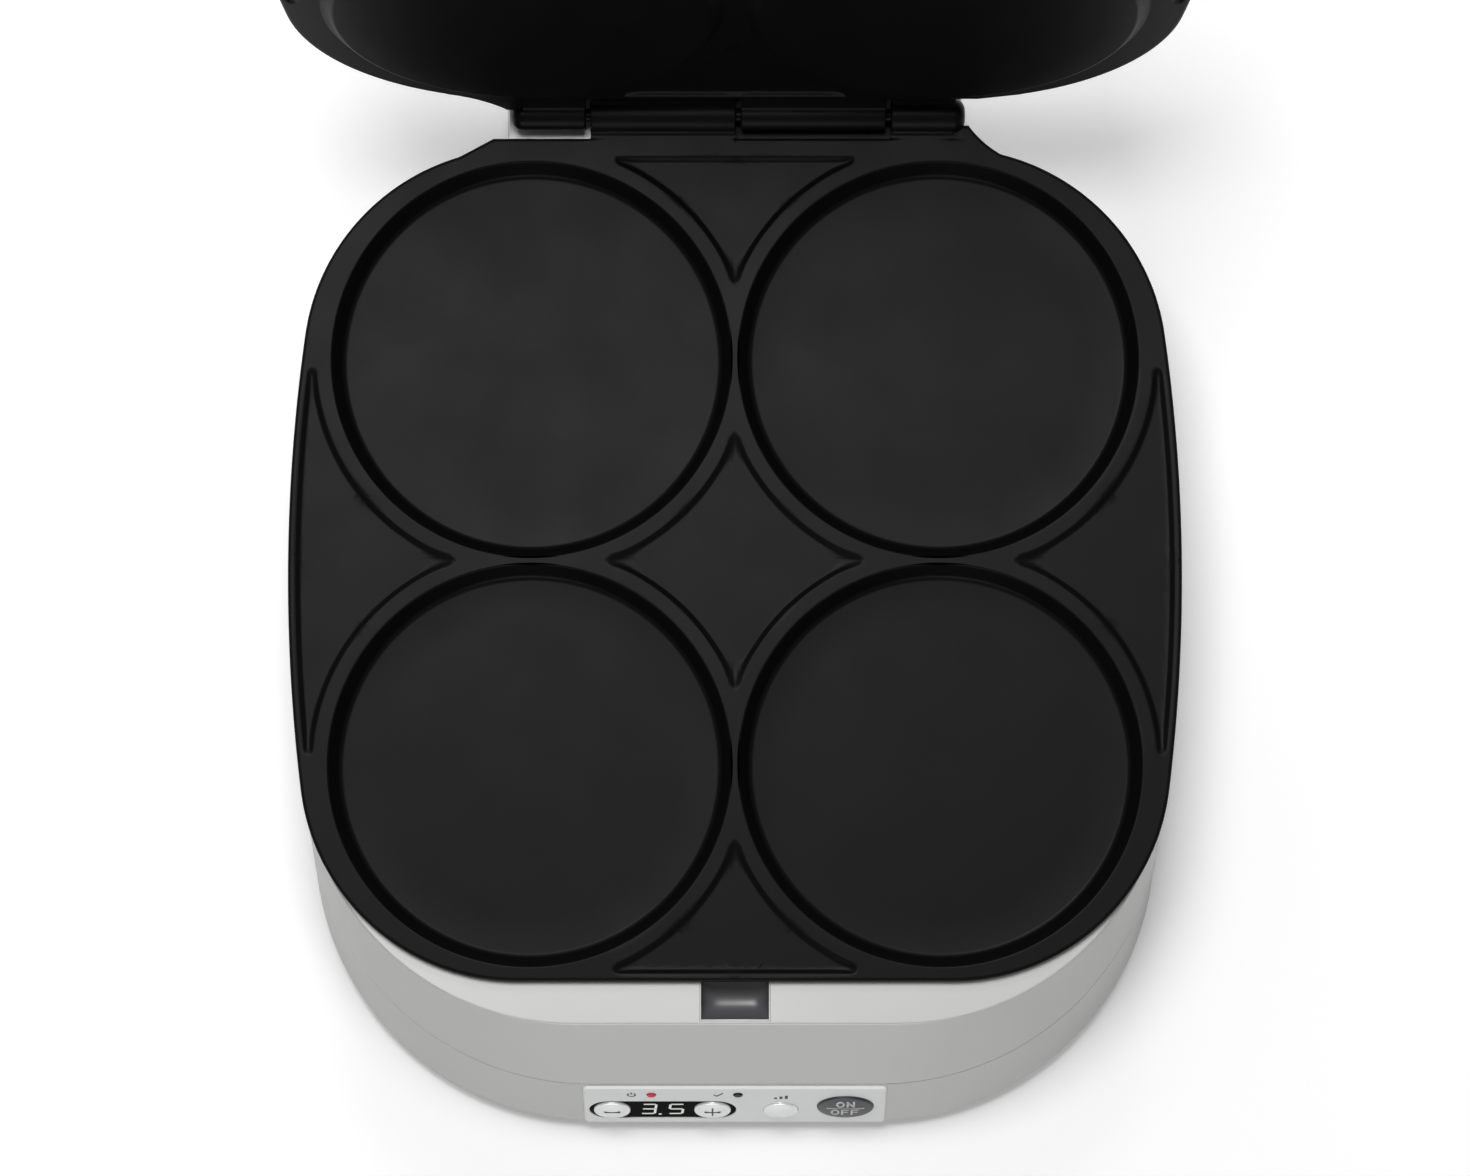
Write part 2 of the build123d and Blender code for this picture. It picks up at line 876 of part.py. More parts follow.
pillar_places = both_sides(side_pillar) + both_sides(front_pillar) + both_sides(rear_pillar)
foot_places = both_sides(front_foot) + both_sides(rear_foot)
lug_top = ledge_height - boss_length
lug_low = lug_top - lug_thickness
neck_top = plate_top + hinge_rise - neck_drop
neck_rear_low = hinge_back + neck_reach + neck_rake_upper
floor_top = sill_height + wall
face_rake = atan((sill_front - seam_front) / (seam_height - sill_height))
panel_plane = Plane(
    origin=(0, -plate_setback - (seam_front + sill_front) / 2, (seam_height + sill_height) / 2),
    x_dir=(1, 0, 0),
    z_dir=(0, -cos(face_rake), sin(face_rake)),
)
panel_back = panel_proud - panel_thickness
panel_out = Axis(origin=(0, 0, 0), direction=panel_plane.z_dir)
stem_end = -board_depth + switch_height + switch_plunger + button_travel + slip_gap
crown_top = panel_proud + button_proud
window_seat = panel_back - window_thickness
standoff_top = floor_top + standoff_height
board_top = standoff_top + board_thickness
button_places = (minus_place, plus_place, extra_place, start_place)
lid_seat = plate_gap + flange_thickness
lid_up = Axis(origin=(0, 0, 0), direction=lid_level(0).z_dir)
hinge_plane = Plane(
    origin=(0, hinge_back - plate_setback, plate_top + hinge_rise), x_dir=(0, 1, 0), z_dir=(1, 0, 0)
)
window_high = window_cut_high - window_cut_low
window_middle = (window_cut_high + window_cut_low) / 2
gland_plane = Plane(
    origin=(gland_place[0], neck_rear_low - plate_setback, gland_place[1]),
    x_dir=(-1, 0, 0),
    z_dir=(0, 1, 0),
)
board_places = [
    (power_board_place[0] + x, power_board_place[1] + y)
    for x in (-power_board_width / 2 + standoff_inset, power_board_width / 2 - standoff_inset)
    for y in (-power_board_length / 2 + standoff_inset, power_board_length / 2 - standoff_inset)
]

# Lower housing: a tray with the panel's window, screw pillars, vents and the gland's hole
with BuildPart() as base_lower_shell:
    add(tapered_block(base_outline, level, sill_height, seam_height - seam_gap))
    fillet(base_lower_shell.faces().sort_by(Axis.Z)[0].edges(), radius=sill_round)
    add(tapered_block(neck_outline, level, sill_height, seam_height - seam_gap))
    add(
        tapered_block(base_outline, level, floor_top, seam_height - seam_gap, wall),
        mode=Mode.SUBTRACT,
    )
    add(
        tapered_block(neck_outline, level, floor_top, seam_height - seam_gap, wall),
        mode=Mode.SUBTRACT,
    )
    add(seam_lip(base_outline, level, seam_height))
    with BuildSketch(level(floor_top)):
        with Locations(*pillar_places):
            Circle(pillar_radius)
    extrude(amount=pillar_joint - floor_top)
    with BuildSketch(level(floor_top)):
        with Locations(*board_places):
            Circle(standoff_radius)
    extrude(amount=standoff_height)
    with BuildSketch(level(standoff_top)):
        with Locations(*board_places):
            Circle(board_screw_radius + fine_gap)
    extrude(amount=board_thickness - board_screw_length - slip_gap, mode=Mode.SUBTRACT)
    with BuildSketch(level(floor_top)):
        with Locations(terminal_place):
            Rectangle(terminal_width, terminal_length)
    extrude(amount=terminal_pad)
    with BuildSketch(level(sill_height)):
        with Locations(*pillar_places):
            Circle(screw_head_radius + fine_gap)
    extrude(amount=screw_sink, mode=Mode.SUBTRACT)
    with BuildSketch(level(sill_height)):
        with Locations(*pillar_places):
            Circle(screw_radius + fine_gap)
        with Locations(*foot_places):
            Circle(foot_stem_radius + fine_gap)
        with Locations(vent_place):
            with GridLocations(vent_length + vent_land, vent_width + vent_land, vent_columns, vent_rows):
                SlotOverall(vent_length, vent_width)
    extrude(amount=pillar_joint, mode=Mode.SUBTRACT)
    with BuildSketch(panel_plane):
        RectangleRounded(panel_width + 2 * fine_gap, panel_height + 2 * fine_gap, panel_corner)
    extrude(amount=panel_back, mode=Mode.SUBTRACT)
    with BuildSketch(panel_plane):
        with Locations((0, window_middle)):
            RectangleRounded(window_cut_width, window_high, panel_corner)
    extrude(amount=-wall - overrun, mode=Mode.SUBTRACT)
    with BuildSketch(gland_plane):
        Circle(gland_radius + fine_gap)
    extrude(amount=-wall - overrun, mode=Mode.SUBTRACT)
save(base_lower_shell.part, "base_lower_shell")

# Upper housing: slanted walls, the ledge with the plates' opening, lugs, and the rear neck
with BuildPart() as base_upper_shell:
    add(tapered_block(base_outline, level, seam_height, ledge_height))
    fillet(base_upper_shell.faces().sort_by(Axis.Z)[-1].edges(), radius=ledge_round)
    add(tapered_block(neck_outline, level, seam_height, ledge_height - ledge_round))
    with BuildSketch(level(neck_top)):
        with Locations((0, (ledge_rear + neck_rear_low) / 2)):
            Rectangle(2 * plate_half_width, neck_rear_low - ledge_rear)
    extrude(amount=plate_top - neck_top, mode=Mode.SUBTRACT)
    add(
        tapered_block(base_outline, level, seam_height, ledge_height - wall, wall),
        mode=Mode.SUBTRACT,
    )
    add(
        tapered_block(neck_outline, level, seam_height, neck_top - wall, wall),
        mode=Mode.SUBTRACT,
    )
    with BuildSketch(level(ledge_height - bulkhead_drop)):
        with Locations((0, ledge_rear - wall / 2 - ledge_round)):
            Rectangle(2 * (neck_half - fine_gap), wall)
    extrude(amount=bulkhead_drop)
    with BuildSketch(level(ledge_height)):
        add(plate_opening(cup_radius + opening_gap))
    extrude(amount=-wall - fine_gap, mode=Mode.SUBTRACT)
    side_lug_end = ledge_half - wall / 2
    front_lug_end = between(lug_top, seam_height, ledge_height, seam_front, ledge_front) - fine_gap
    rear_lug_end = ledge_rear - wall / 2
    with BuildSketch(level(lug_low)):
        for side in (-1, 1):
            inner_end = boss_side - lug_half
            with Locations((side * (side_lug_end + inner_end) / 2, 0)):
                Rectangle(side_lug_end - inner_end, 2 * lug_half)
        with Locations((0, -(front_lug_end + boss_end - lug_half) / 2)):
            Rectangle(2 * lug_half, front_lug_end - boss_end + lug_half)
        with Locations((0, (rear_lug_end + boss_end - lug_half) / 2)):
            Rectangle(2 * lug_half, rear_lug_end - boss_end + lug_half)
        with Locations(*boss_places):
            Circle(screw_radius + fine_gap, mode=Mode.SUBTRACT)
    extrude(amount=lug_thickness)
    with BuildSketch(level(pillar_joint)):
        with Locations(*both_sides(rear_pillar)):
            Circle(pillar_radius)
    extrude(amount=neck_top - wall - pillar_joint)
    with BuildSketch(level(pillar_joint)):
        with Locations(*both_sides(side_pillar), *both_sides(front_pillar)):
            Circle(pillar_radius)
    extrude(amount=ledge_height - wall - pillar_joint)
    with BuildSketch(level(seam_height + lip_height + slip_gap)):
        for side in (-1, 1):
            with Locations((side * (side_pillar[0] + side_lug_end) / 2, side_pillar[1])):
                Rectangle(side_lug_end - side_pillar[0], rib_thickness)
    extrude(amount=ledge_height - wall - seam_height - lip_height - slip_gap)
    with BuildSketch(level(pillar_joint)):
        with Locations(*pillar_places):
            Circle(screw_radius + fine_gap)
    extrude(amount=screw_length, mode=Mode.SUBTRACT)
    with BuildSketch(level(ledge_height)):
        with Locations((0, -(recess_front + recess_back) / 2)):
            Rectangle(2 * recess_half, recess_front - recess_back)
    extrude(amount=-wall - fine_gap, mode=Mode.SUBTRACT)
save(base_upper_shell.part, "base_upper_shell")

lower_face = level(plate_top)
upper_face = lid_level(plate_gap, down=True)
lower_back = lower_well_depth + casting_wall
upper_back = flange_thickness + upper_land
tab_edge = hinge_back - lower_barrel_radius - barrel_notch_gap
upper_rear = plate_half_depth - upper_rear_inset
with BuildPart() as lower_plate:
    add(
        cooking_plate(
            lower_face,
            hinge_rise,
            cup_radius,
            lower_back,
            ((base_outer_span[0], base_outer_span[1] - cap_length), base_inner_span),
            lower_barrel_radius,
            plate_half_depth,
            tab_edge,
        )
    )
    cutter = well_cutter(lower_rim_radius, lower_floor_radius, lower_well_depth)
    with Locations(*[lower_face * place for place in GridLocations(well_pitch, well_pitch, 2, 2)]):
        add(cutter, mode=Mode.SUBTRACT)
    # Shelf of the casting under the lid's inner barrel, hung from the tab's edge
    shelf_top = hinge_rise - upper_barrel_radius - shelf_gap
    shelf_front = tab_edge - shelf_overlap
    shelf_width = lid_inner_span[1] - lid_inner_span[0] + 2 * barrel_gap + 2 * shelf_overlap
    shelf_middle = (lid_inner_span[0] + lid_inner_span[1]) / 2
    with BuildSketch(level(plate_top + shelf_top)):
        with Locations((shelf_middle, (shelf_front + hinge_back + shelf_back) / 2)):
            Rectangle(shelf_width, hinge_back + shelf_back - shelf_front)
    extrude(amount=-shelf_thickness)
    with BuildSketch(level(plate_top - flange_thickness)):
        with Locations((shelf_middle, shelf_front + shelf_overlap / 2)):
            Rectangle(shelf_width, shelf_overlap)
    extrude(amount=shelf_top + flange_thickness - shelf_thickness)
save(lower_plate.part, "lower_cooking_plate")
with BuildPart() as upper_plate:
    add(
        cooking_plate(
            upper_face,
            plate_gap - hinge_rise,
            upper_land_radius,
            upper_back,
            (
                (-lid_outer_span[1], -lid_outer_span[0] - cap_length),
                (-lid_inner_span[1], -lid_inner_span[0]),
            ),
            upper_barrel_radius,
            upper_rear,
            upper_rear,
        )
    )
    pad = raised_pad()
    with Locations(*[upper_face * place for place in GridLocations(well_pitch, well_pitch, 2, 2)]):
        add(pad)
save(upper_plate.part, "upper_cooking_plate")
save(heating_element(lower_face, lower_back), "lower_heating_element")
save(heating_element(upper_face, upper_back), "upper_heating_element")
save(element_clamps(lower_face, lower_back), "lower_element_clamps")
save(element_clamps(upper_face, upper_back), "upper_element_clamps")
save(reflector(lower_face), "lower_reflector")
save(reflector(upper_face), "upper_reflector")
save(plate_screws(lower_face), "lower_plate_screws")
save(plate_screws(upper_face), "upper_plate_screws")
save(thermal_fuse(lower_face), "lower_thermal_fuse")
save(thermal_fuse(upper_face), "upper_thermal_fuse")

# Screws that hold the two base housings together, from below
save(screws(level(sill_height + screw_sink), pillar_places, screw_length), "base_screws")

# Rubber feet with a barbed stem through the floor
with BuildPart() as rubber_feet:
    with BuildSketch(level(0)):
        with Locations(*foot_places):
            Circle(foot_radius)
    extrude(amount=foot_height)
    fillet(rubber_feet.edges().group_by(Axis.Z)[0], radius=foot_round)
    with BuildSketch(level(foot_height)):
        with Locations(*foot_places):
            Circle(foot_stem_radius)
    extrude(amount=wall)
    with BuildSketch(level(floor_top)):
        with Locations(*foot_places):
            Circle(foot_stem_radius + foot_barb)
    extrude(amount=foot_barb_height, taper=foot_barb_taper)
save(rubber_feet.part, "rubber_feet")

# Dark scoop let into the front ledge
with BuildPart() as finger_recess:
    scoop_front = recess_front - fine_gap
    scoop_back = recess_back + fine_gap
    scoop_half = recess_half - fine_gap
    scoop_middle = (scoop_front + scoop_back) / 2
    scoop_radius = (scoop_front - scoop_back) / 2 - recess_wall
    with BuildSketch(level(ledge_height)):
        with Locations((0, -scoop_middle)):
            Rectangle(2 * scoop_half, scoop_front - scoop_back)
    extrude(amount=-recess_depth - recess_wall)
    with BuildSketch(level(ledge_height - wall - fine_gap)):
        with Locations((0, -scoop_middle + recess_flange / 2)):
            Rectangle(2 * (scoop_half + recess_flange), scoop_front - scoop_back + recess_flange)
    extrude(amount=-recess_flange)
    scoop_plane = Plane(
        origin=(-scoop_half + recess_wall, -plate_setback - scoop_middle, ledge_height),
        x_dir=(0, 1, 0),
        z_dir=(1, 0, 0),
    )
    with BuildSketch(scoop_plane):
        with Locations((0, -recess_depth + scoop_radius)):
            Circle(scoop_radius)
        with Locations((0, -recess_depth + scoop_radius)):
            Rectangle(2 * scoop_radius, recess_depth, align=(Align.CENTER, Align.MIN))
    extrude(amount=2 * (scoop_half - recess_wall), mode=Mode.SUBTRACT)
save(finger_recess.part, "finger_recess")

# Face plate with the openings for the window, the buttons and the lamps, and four posts
with BuildPart() as control_panel:
    with BuildSketch(panel_plane.offset(panel_back)):
        RectangleRounded(panel_width, panel_height, panel_corner)
    extrude(amount=panel_thickness)
    chamfer(control_panel.faces().sort_by(panel_out)[-1].edges(), length=panel_bevel)
    with BuildSketch(panel_plane.offset(-board_depth)):
        with Locations(*post_places):
            Circle(post_radius)
    extrude(amount=board_depth + panel_back)
    with BuildSketch(panel_plane.offset(panel_back)):
        with Locations(pill_centre):
            SlotOverall(pill_width, pill_height)
        add(disc(extra_place, extra_radius + slip_gap))
        add(oval(start_place, start_half_width + slip_gap, start_half_height + slip_gap))
        add(disc(power_lamp_place, lamp_radius + fine_gap))
        add(disc(ready_lamp_place, lamp_radius + fine_gap))
    extrude(amount=panel_thickness, mode=Mode.SUBTRACT)
    with BuildSketch(panel_plane.offset(-board_depth)):
        with Locations(*post_places):
            Circle(board_screw_radius + fine_gap)
    extrude(amount=board_screw_length, mode=Mode.SUBTRACT)
save(control_panel.part, "control_panel")

# Dark window in the long rounded opening, flanged behind, with two button holes
with BuildPart() as display_window:
    with BuildSketch(panel_plane.offset(window_seat)):
        with Locations(pill_centre):
            SlotOverall(pill_width + 2 * window_flange, pill_height + 2 * window_flange)
        Rectangle(window_cut_width - 2 * slip_gap, panel_height, mode=Mode.INTERSECT)
    extrude(amount=window_thickness)
    with BuildSketch(panel_plane.offset(panel_back)):
        with Locations(pill_centre):
            SlotOverall(pill_width - 2 * fine_gap, pill_height - 2 * fine_gap)
    extrude(amount=panel_thickness - slip_gap)
    with BuildSketch(panel_plane.offset(window_seat)):
        add(disc(minus_place, button_radius + slip_gap))
        add(disc(plus_place, button_radius + slip_gap))
    extrude(amount=window_thickness + panel_thickness, mode=Mode.SUBTRACT)
save(display_window.part, "display_window")

save(round_button(minus_place, button_radius, window_seat), "minus_button")
save(round_button(plus_place, button_radius, window_seat), "plus_button")
save(round_button(extra_place, extra_radius, panel_back), "extra_button")
start_outline = oval(start_place, start_half_width, start_half_height)
start_flange = oval(start_place, start_half_width + button_flange, start_half_height + button_flange)
save(push_button(start_place, start_outline, start_flange, panel_back), "start_button")
save(lamp(power_lamp_place), "power_lamp")
save(lamp(ready_lamp_place), "ready_lamp")

# Control board behind the panel, with its screws, switches and display
with BuildPart() as control_board:
    with BuildSketch(panel_plane.offset(-board_depth)):
        with Locations((0, (board_high + board_low) / 2)):
            RectangleRounded(board_width, board_high - board_low, panel_corner)
        with Locations(*post_places):
            Circle(board_screw_radius + fine_gap, mode=Mode.SUBTRACT)
    extrude(amount=-board_thickness)
save(control_board.part, "control_board")

with BuildPart() as board_screws:
    with BuildSketch(panel_plane.offset(-board_depth - board_thickness)):
        with Locations(*post_places):
            Circle(board_screw_head_radius)
    extrude(amount=-board_screw_head)
    with BuildSketch(panel_plane.offset(-board_depth - board_thickness)):
        with Locations(*post_places):
            Circle(board_screw_radius)
    extrude(amount=board_screw_length)
save(board_screws.part, "board_screws")

with BuildPart() as tact_switches:
    with BuildSketch(panel_plane.offset(-board_depth)):
        with Locations(*button_places):
            Rectangle(switch_side, switch_side)
    extrude(amount=switch_height)
    with BuildSketch(panel_plane.offset(-board_depth + switch_height)):
        with Locations(*button_places):
            Circle(switch_plunger_radius)
    extrude(amount=switch_plunger)
save(tact_switches.part, "tact_switches")

with BuildPart() as display_module:
    with BuildSketch(panel_plane.offset(-board_depth)):
        with Locations(display_centre):
            Rectangle(display_width, display_height)
    extrude(amount=board_depth + window_seat - slip_gap)
save(display_module.part, "display_module")

# Power board on the floor's posts, with its screws, relay and transformer
with BuildPart() as power_board:
    with BuildSketch(level(standoff_top)):
        with Locations(power_board_place):
            RectangleRounded(power_board_width, power_board_length, panel_corner)
        with Locations(*board_places):
            Circle(board_screw_radius + fine_gap, mode=Mode.SUBTRACT)
    extrude(amount=board_thickness)
save(power_board.part, "power_board")

with BuildPart() as power_board_screws:
    with BuildSketch(level(board_top)):
        with Locations(*board_places):
            Circle(board_screw_head_radius)
    extrude(amount=board_screw_head)
    with BuildSketch(level(board_top)):
        with Locations(*board_places):
            Circle(board_screw_radius)
    extrude(amount=-board_screw_length)
save(power_board_screws.part, "power_board_screws")

with BuildPart() as relay:
    with BuildSketch(level(board_top)):
        with Locations(relay_place):
            Rectangle(relay_width, relay_length)
    extrude(amount=relay_height)
    chamfer(relay.edges().filter_by(Axis.Z), length=relay_edge)
save(relay.part, "relay")

# Sheet core with its winding standing out on two sides
with BuildPart() as transformer:
    with BuildSketch(level(board_top)):
        with Locations(transformer_place):
            Rectangle(transformer_width, transformer_length)
    extrude(amount=transformer_height)
    with BuildSketch(level(board_top)):
        with Locations(transformer_place):
            Rectangle(transformer_coil_width, transformer_coil_length)
    extrude(amount=transformer_coil_height)
save(transformer.part, "transformer")

with BuildPart() as terminal_block:
    with BuildSketch(level(floor_top + terminal_pad)):
        with Locations(terminal_place):
            Rectangle(terminal_width, terminal_length)
    extrude(amount=terminal_height)
    with BuildSketch(level(floor_top + terminal_pad + terminal_height)):
        with Locations(terminal_place):
            with GridLocations(terminal_hole_spacing, terminal_row_spacing, 3, 2):
                Circle(terminal_hole_radius)
    extrude(amount=-terminal_hole_depth, mode=Mode.SUBTRACT)
save(terminal_block.part, "terminal_block")

# Gland for the mains cord, clipped into the neck's rear wall
with BuildPart() as cord_gland:
    with BuildSketch(gland_plane):
        Circle(gland_flange_radius)
    extrude(amount=gland_flange)
    fillet(cord_gland.faces().sort_by(Axis.Y)[-1].edges(), radius=gland_round)
    with BuildSketch(gland_plane):
        Circle(gland_radius)
    extrude(amount=-gland_length)
    with BuildSketch(gland_plane.offset(-wall)):
        Circle(gland_clip_radius)
    extrude(amount=-gland_clip)
    with BuildSketch(gland_plane.offset(gland_flange)):
        Circle(gland_bore_radius)
    extrude(amount=-gland_flange - gland_length, mode=Mode.SUBTRACT)
save(cord_gland.part, "cord_gland")

# Temperature sensor against the plate's back
with BuildPart() as temperature_sensor:
    with BuildSketch(level(ledge_height)):
        Circle(sensor_radius)
    extrude(amount=-sensor_flange)
    with BuildSketch(level(ledge_height - sensor_flange)):
        Circle(sensor_stem_radius)
    extrude(amount=-sensor_height)
save(temperature_sensor.part, "temperature_sensor")

# Hinge pin and the domed caps that close the outer barrels
pin_left = lid_outer_span[0] + cap_length + cap_spigot + slip_gap
pin_right = base_outer_span[1] - cap_length - cap_spigot - slip_gap
with BuildPart() as hinge_pin:
    with BuildSketch(hinge_plane.offset(pin_left)):
        Circle(pin_radius)
    extrude(amount=pin_right - pin_left)
    chamfer(hinge_pin.edges(), length=pin_edge)
save(hinge_pin.part, "hinge_pin")
base_cap_plane = hinge_plane.offset(base_outer_span[1] - cap_length)
save(pin_cap(base_cap_plane, lower_barrel_radius), "base_pin_cap")
lid_cap_plane = Plane(
    origin=hinge_plane.offset(lid_outer_span[0] + cap_length).origin,
    x_dir=(0, 1, 0),
    z_dir=(-1, 0, 0),
)
save(pin_cap(lid_cap_plane, upper_barrel_radius), "lid_pin_cap")

# Lid frame: walls round the plate's back, the front lip, screw lugs and the rear neck
with BuildPart() as lid_frame:
    frame_high = lid_frame_top - seam_gap
    add(tapered_block(lid_outline, lid_level, lid_seat, frame_high))
    add(tapered_block(lid_neck_outline, lid_level, lid_neck_low, frame_high))
    with BuildSketch(lid_level(plate_gap - lid_lip_drop)):
        add(lid_outline(lid_seat))
        cleared = (plate_half_width, plate_half_depth, plate_half_depth, plate_corner, plate_corner)
        add(rounded_outline(*[size + slip_gap for size in cleared]), mode=Mode.SUBTRACT)
        with Locations((0, plate_half_depth)):
            Rectangle(4 * plate_half_width, 2 * plate_half_depth, mode=Mode.SUBTRACT)
    extrude(amount=lid_lip_drop + flange_thickness)
    add(
        tapered_block(lid_outline, lid_level, lid_seat + wall, frame_high, wall),
        mode=Mode.SUBTRACT,
    )
    add(
        tapered_block(lid_neck_outline, lid_level, lid_neck_low + wall, frame_high, wall),
        mode=Mode.SUBTRACT,
    )
    add(seam_lip(lid_outline, lid_level, lid_frame_top))
    with BuildSketch(lid_level(lid_seat)):
        with Locations((0, ledge_rear - wall / 2 - fine_gap)):
            Rectangle(2 * (neck_half - wall), wall)
    extrude(amount=boss_length + lug_thickness)
    with BuildSketch(lid_level(lid_seat)):
        add(plate_opening(upper_land_radius + opening_gap))
    extrude(amount=wall + fine_gap, mode=Mode.SUBTRACT)
    with BuildSketch(lid_level(lid_seat + boss_length)):
        side_end = ledge_half - lid_inset_frame
        front_end = ledge_front - lid_inset_frame
        rear_end = ledge_rear - wall / 2
        for side in (-1, 1):
            inner_end = boss_side - lug_half
            with Locations((side * (side_end + inner_end) / 2, 0)):
                Rectangle(side_end - inner_end, 2 * lug_half)
        inner_end = boss_end - lug_half
        with Locations((0, -(front_end + inner_end) / 2)):
            Rectangle(2 * lug_half, front_end - inner_end)
        with Locations((0, (rear_end + inner_end) / 2)):
            Rectangle(2 * lug_half, rear_end - inner_end)
        with Locations(*boss_places):
            Circle(screw_radius + fine_gap, mode=Mode.SUBTRACT)
    extrude(amount=lug_thickness)
save(lid_frame.part, "lid_frame")

# Snap hooks reach past the frame's lip and catch under it
hook_outer = wall + fine_gap + lip_thickness + slip_gap
hook_inner = hook_outer + hook_thickness
hook_root_low = lid_frame_top + lip_height + slip_gap
hook_root_high = hook_root_low + hook_root
hook_head_high = lid_frame_top - lip_root - slip_gap
hook_head_low = hook_head_high - hook_head
with BuildPart() as hooks:
    add(lid_band(hook_head_low, hook_root_high, hook_outer, hook_inner))
    add(lid_band(hook_root_low, hook_root_high, wall - fine_gap, hook_inner))
    add(lid_band(hook_head_low, hook_head_high, wall + slip_gap, hook_inner))
    with BuildSketch(lid_level(hook_head_low)):
        with GridLocations(0, 2 * hook_side, 1, 2):
            Rectangle(2 * plate_half_width, hook_width)
        for side in (-1, 1):
            with Locations((side * hook_front, -plate_half_depth)):
                Rectangle(hook_width, plate_half_depth)
    extrude(amount=hook_root_high - hook_head_low, mode=Mode.INTERSECT)

# Lid cover: a rounded shell over the frame, with a neck over the hinge
with BuildPart() as lid_cover:
    add(lid_dome(lid_top, 0, lid_round))
    add(tapered_block(lid_neck_outline, lid_level, lid_frame_top, lid_neck_top))
    add(lid_dome(lid_top - wall, wall, lid_round - wall), mode=Mode.SUBTRACT)
    add(
        tapered_block(lid_neck_outline, lid_level, lid_frame_top, lid_neck_top - wall, wall),
        mode=Mode.SUBTRACT,
    )
    add(hooks.part)
save(lid_cover.part, "lid_cover")
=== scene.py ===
"""Electric pancake maker with four round wells, its lid open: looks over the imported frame.

Lengths are in millimetres until a mesh or a lamp is made. X runs right, Y back, Z up.
"""

from __future__ import annotations

import json
import logging
from dataclasses import dataclass, field
from enum import Enum
from math import atan2, cos, hypot, pi, radians, sin, sqrt
from typing import Any, Sequence

import bmesh
import bpy
import numpy as np
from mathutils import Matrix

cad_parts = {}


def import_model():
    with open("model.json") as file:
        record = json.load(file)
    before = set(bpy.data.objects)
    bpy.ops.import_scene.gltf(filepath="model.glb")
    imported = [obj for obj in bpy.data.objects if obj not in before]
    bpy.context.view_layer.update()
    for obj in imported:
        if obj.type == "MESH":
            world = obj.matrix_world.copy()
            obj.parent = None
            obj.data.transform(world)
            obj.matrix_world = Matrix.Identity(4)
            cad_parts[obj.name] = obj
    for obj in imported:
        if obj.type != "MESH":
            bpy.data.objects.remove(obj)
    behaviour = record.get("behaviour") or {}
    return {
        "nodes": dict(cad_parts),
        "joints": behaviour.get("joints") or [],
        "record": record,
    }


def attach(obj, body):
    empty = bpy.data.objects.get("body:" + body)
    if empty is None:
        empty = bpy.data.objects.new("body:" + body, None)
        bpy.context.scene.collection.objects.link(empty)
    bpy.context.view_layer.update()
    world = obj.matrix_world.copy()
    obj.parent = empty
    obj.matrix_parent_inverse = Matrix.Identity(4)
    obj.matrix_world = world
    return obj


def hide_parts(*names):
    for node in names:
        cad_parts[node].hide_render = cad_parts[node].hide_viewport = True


log = logging.getLogger("pancake_maker")
Array = np.ndarray
MM = 0.001
# Height of the lower plate's rims, gap between the shut plates, and the hinge behind their middle
PLATE_TOP = 78.0
PLATE_GAP = 0.5
HINGE_BACK = 166.0
# Top of the housing's front ledge, in which the recess lies
LEDGE_TOP = 74.0
# Points closer than this, in metres, become one, and edges shorter than the other go
WELD = 2e-6
SHORTEST = 1e-6
# Distances and slopes that count as nothing
NEAR = 1e-6
TINY = 1e-9


# Meshes

def add_object(name: str, data: bpy.types.ID) -> bpy.types.Object:
    """A new object that holds some data, linked to the scene.

    Args:
        name: The object's name.
        data: Its mesh, lamp or camera.

    Returns:
        The object.
    """
    made = bpy.data.objects.new(name, data)
    bpy.context.scene.collection.objects.link(made)
    return made


def unit(turn: Array) -> Array:
    """Unit vectors, as x and y, at angles in radians."""
    return np.stack([np.cos(turn), np.sin(turn)], -1)


def direction(step: Array) -> Array:
    """The unit vector along a step."""
    return step / np.linalg.norm(step)


def grid_faces(rows: int, columns: int, wrap: bool = False, start: int = 0) -> Array:
    """Quads between the points of a grid stored row by row.

    Args:
        rows: Number of rows.
        columns: Number of points in a row.
        wrap: Whether the last column joins the first.
        start: Index of the grid's first point.

    Returns:
        Four indices a face, turning from column to row.
    """
    first = np.arange(rows - 1)[:, None] * columns
    here = np.arange(columns if wrap else columns - 1)[None, :]
    after = (here + 1) % columns
    quads = np.stack([first + here, first + after, first + columns + after, first + columns + here], -1)
    return quads.reshape(-1, 4) + start


def fan_faces(centre: int, ring: Array) -> Array:
    """Triangles from the point with one index to the closed ring of the others, three indices a face."""
    return np.stack([np.full(len(ring), centre), ring, np.roll(ring, -1)], -1)


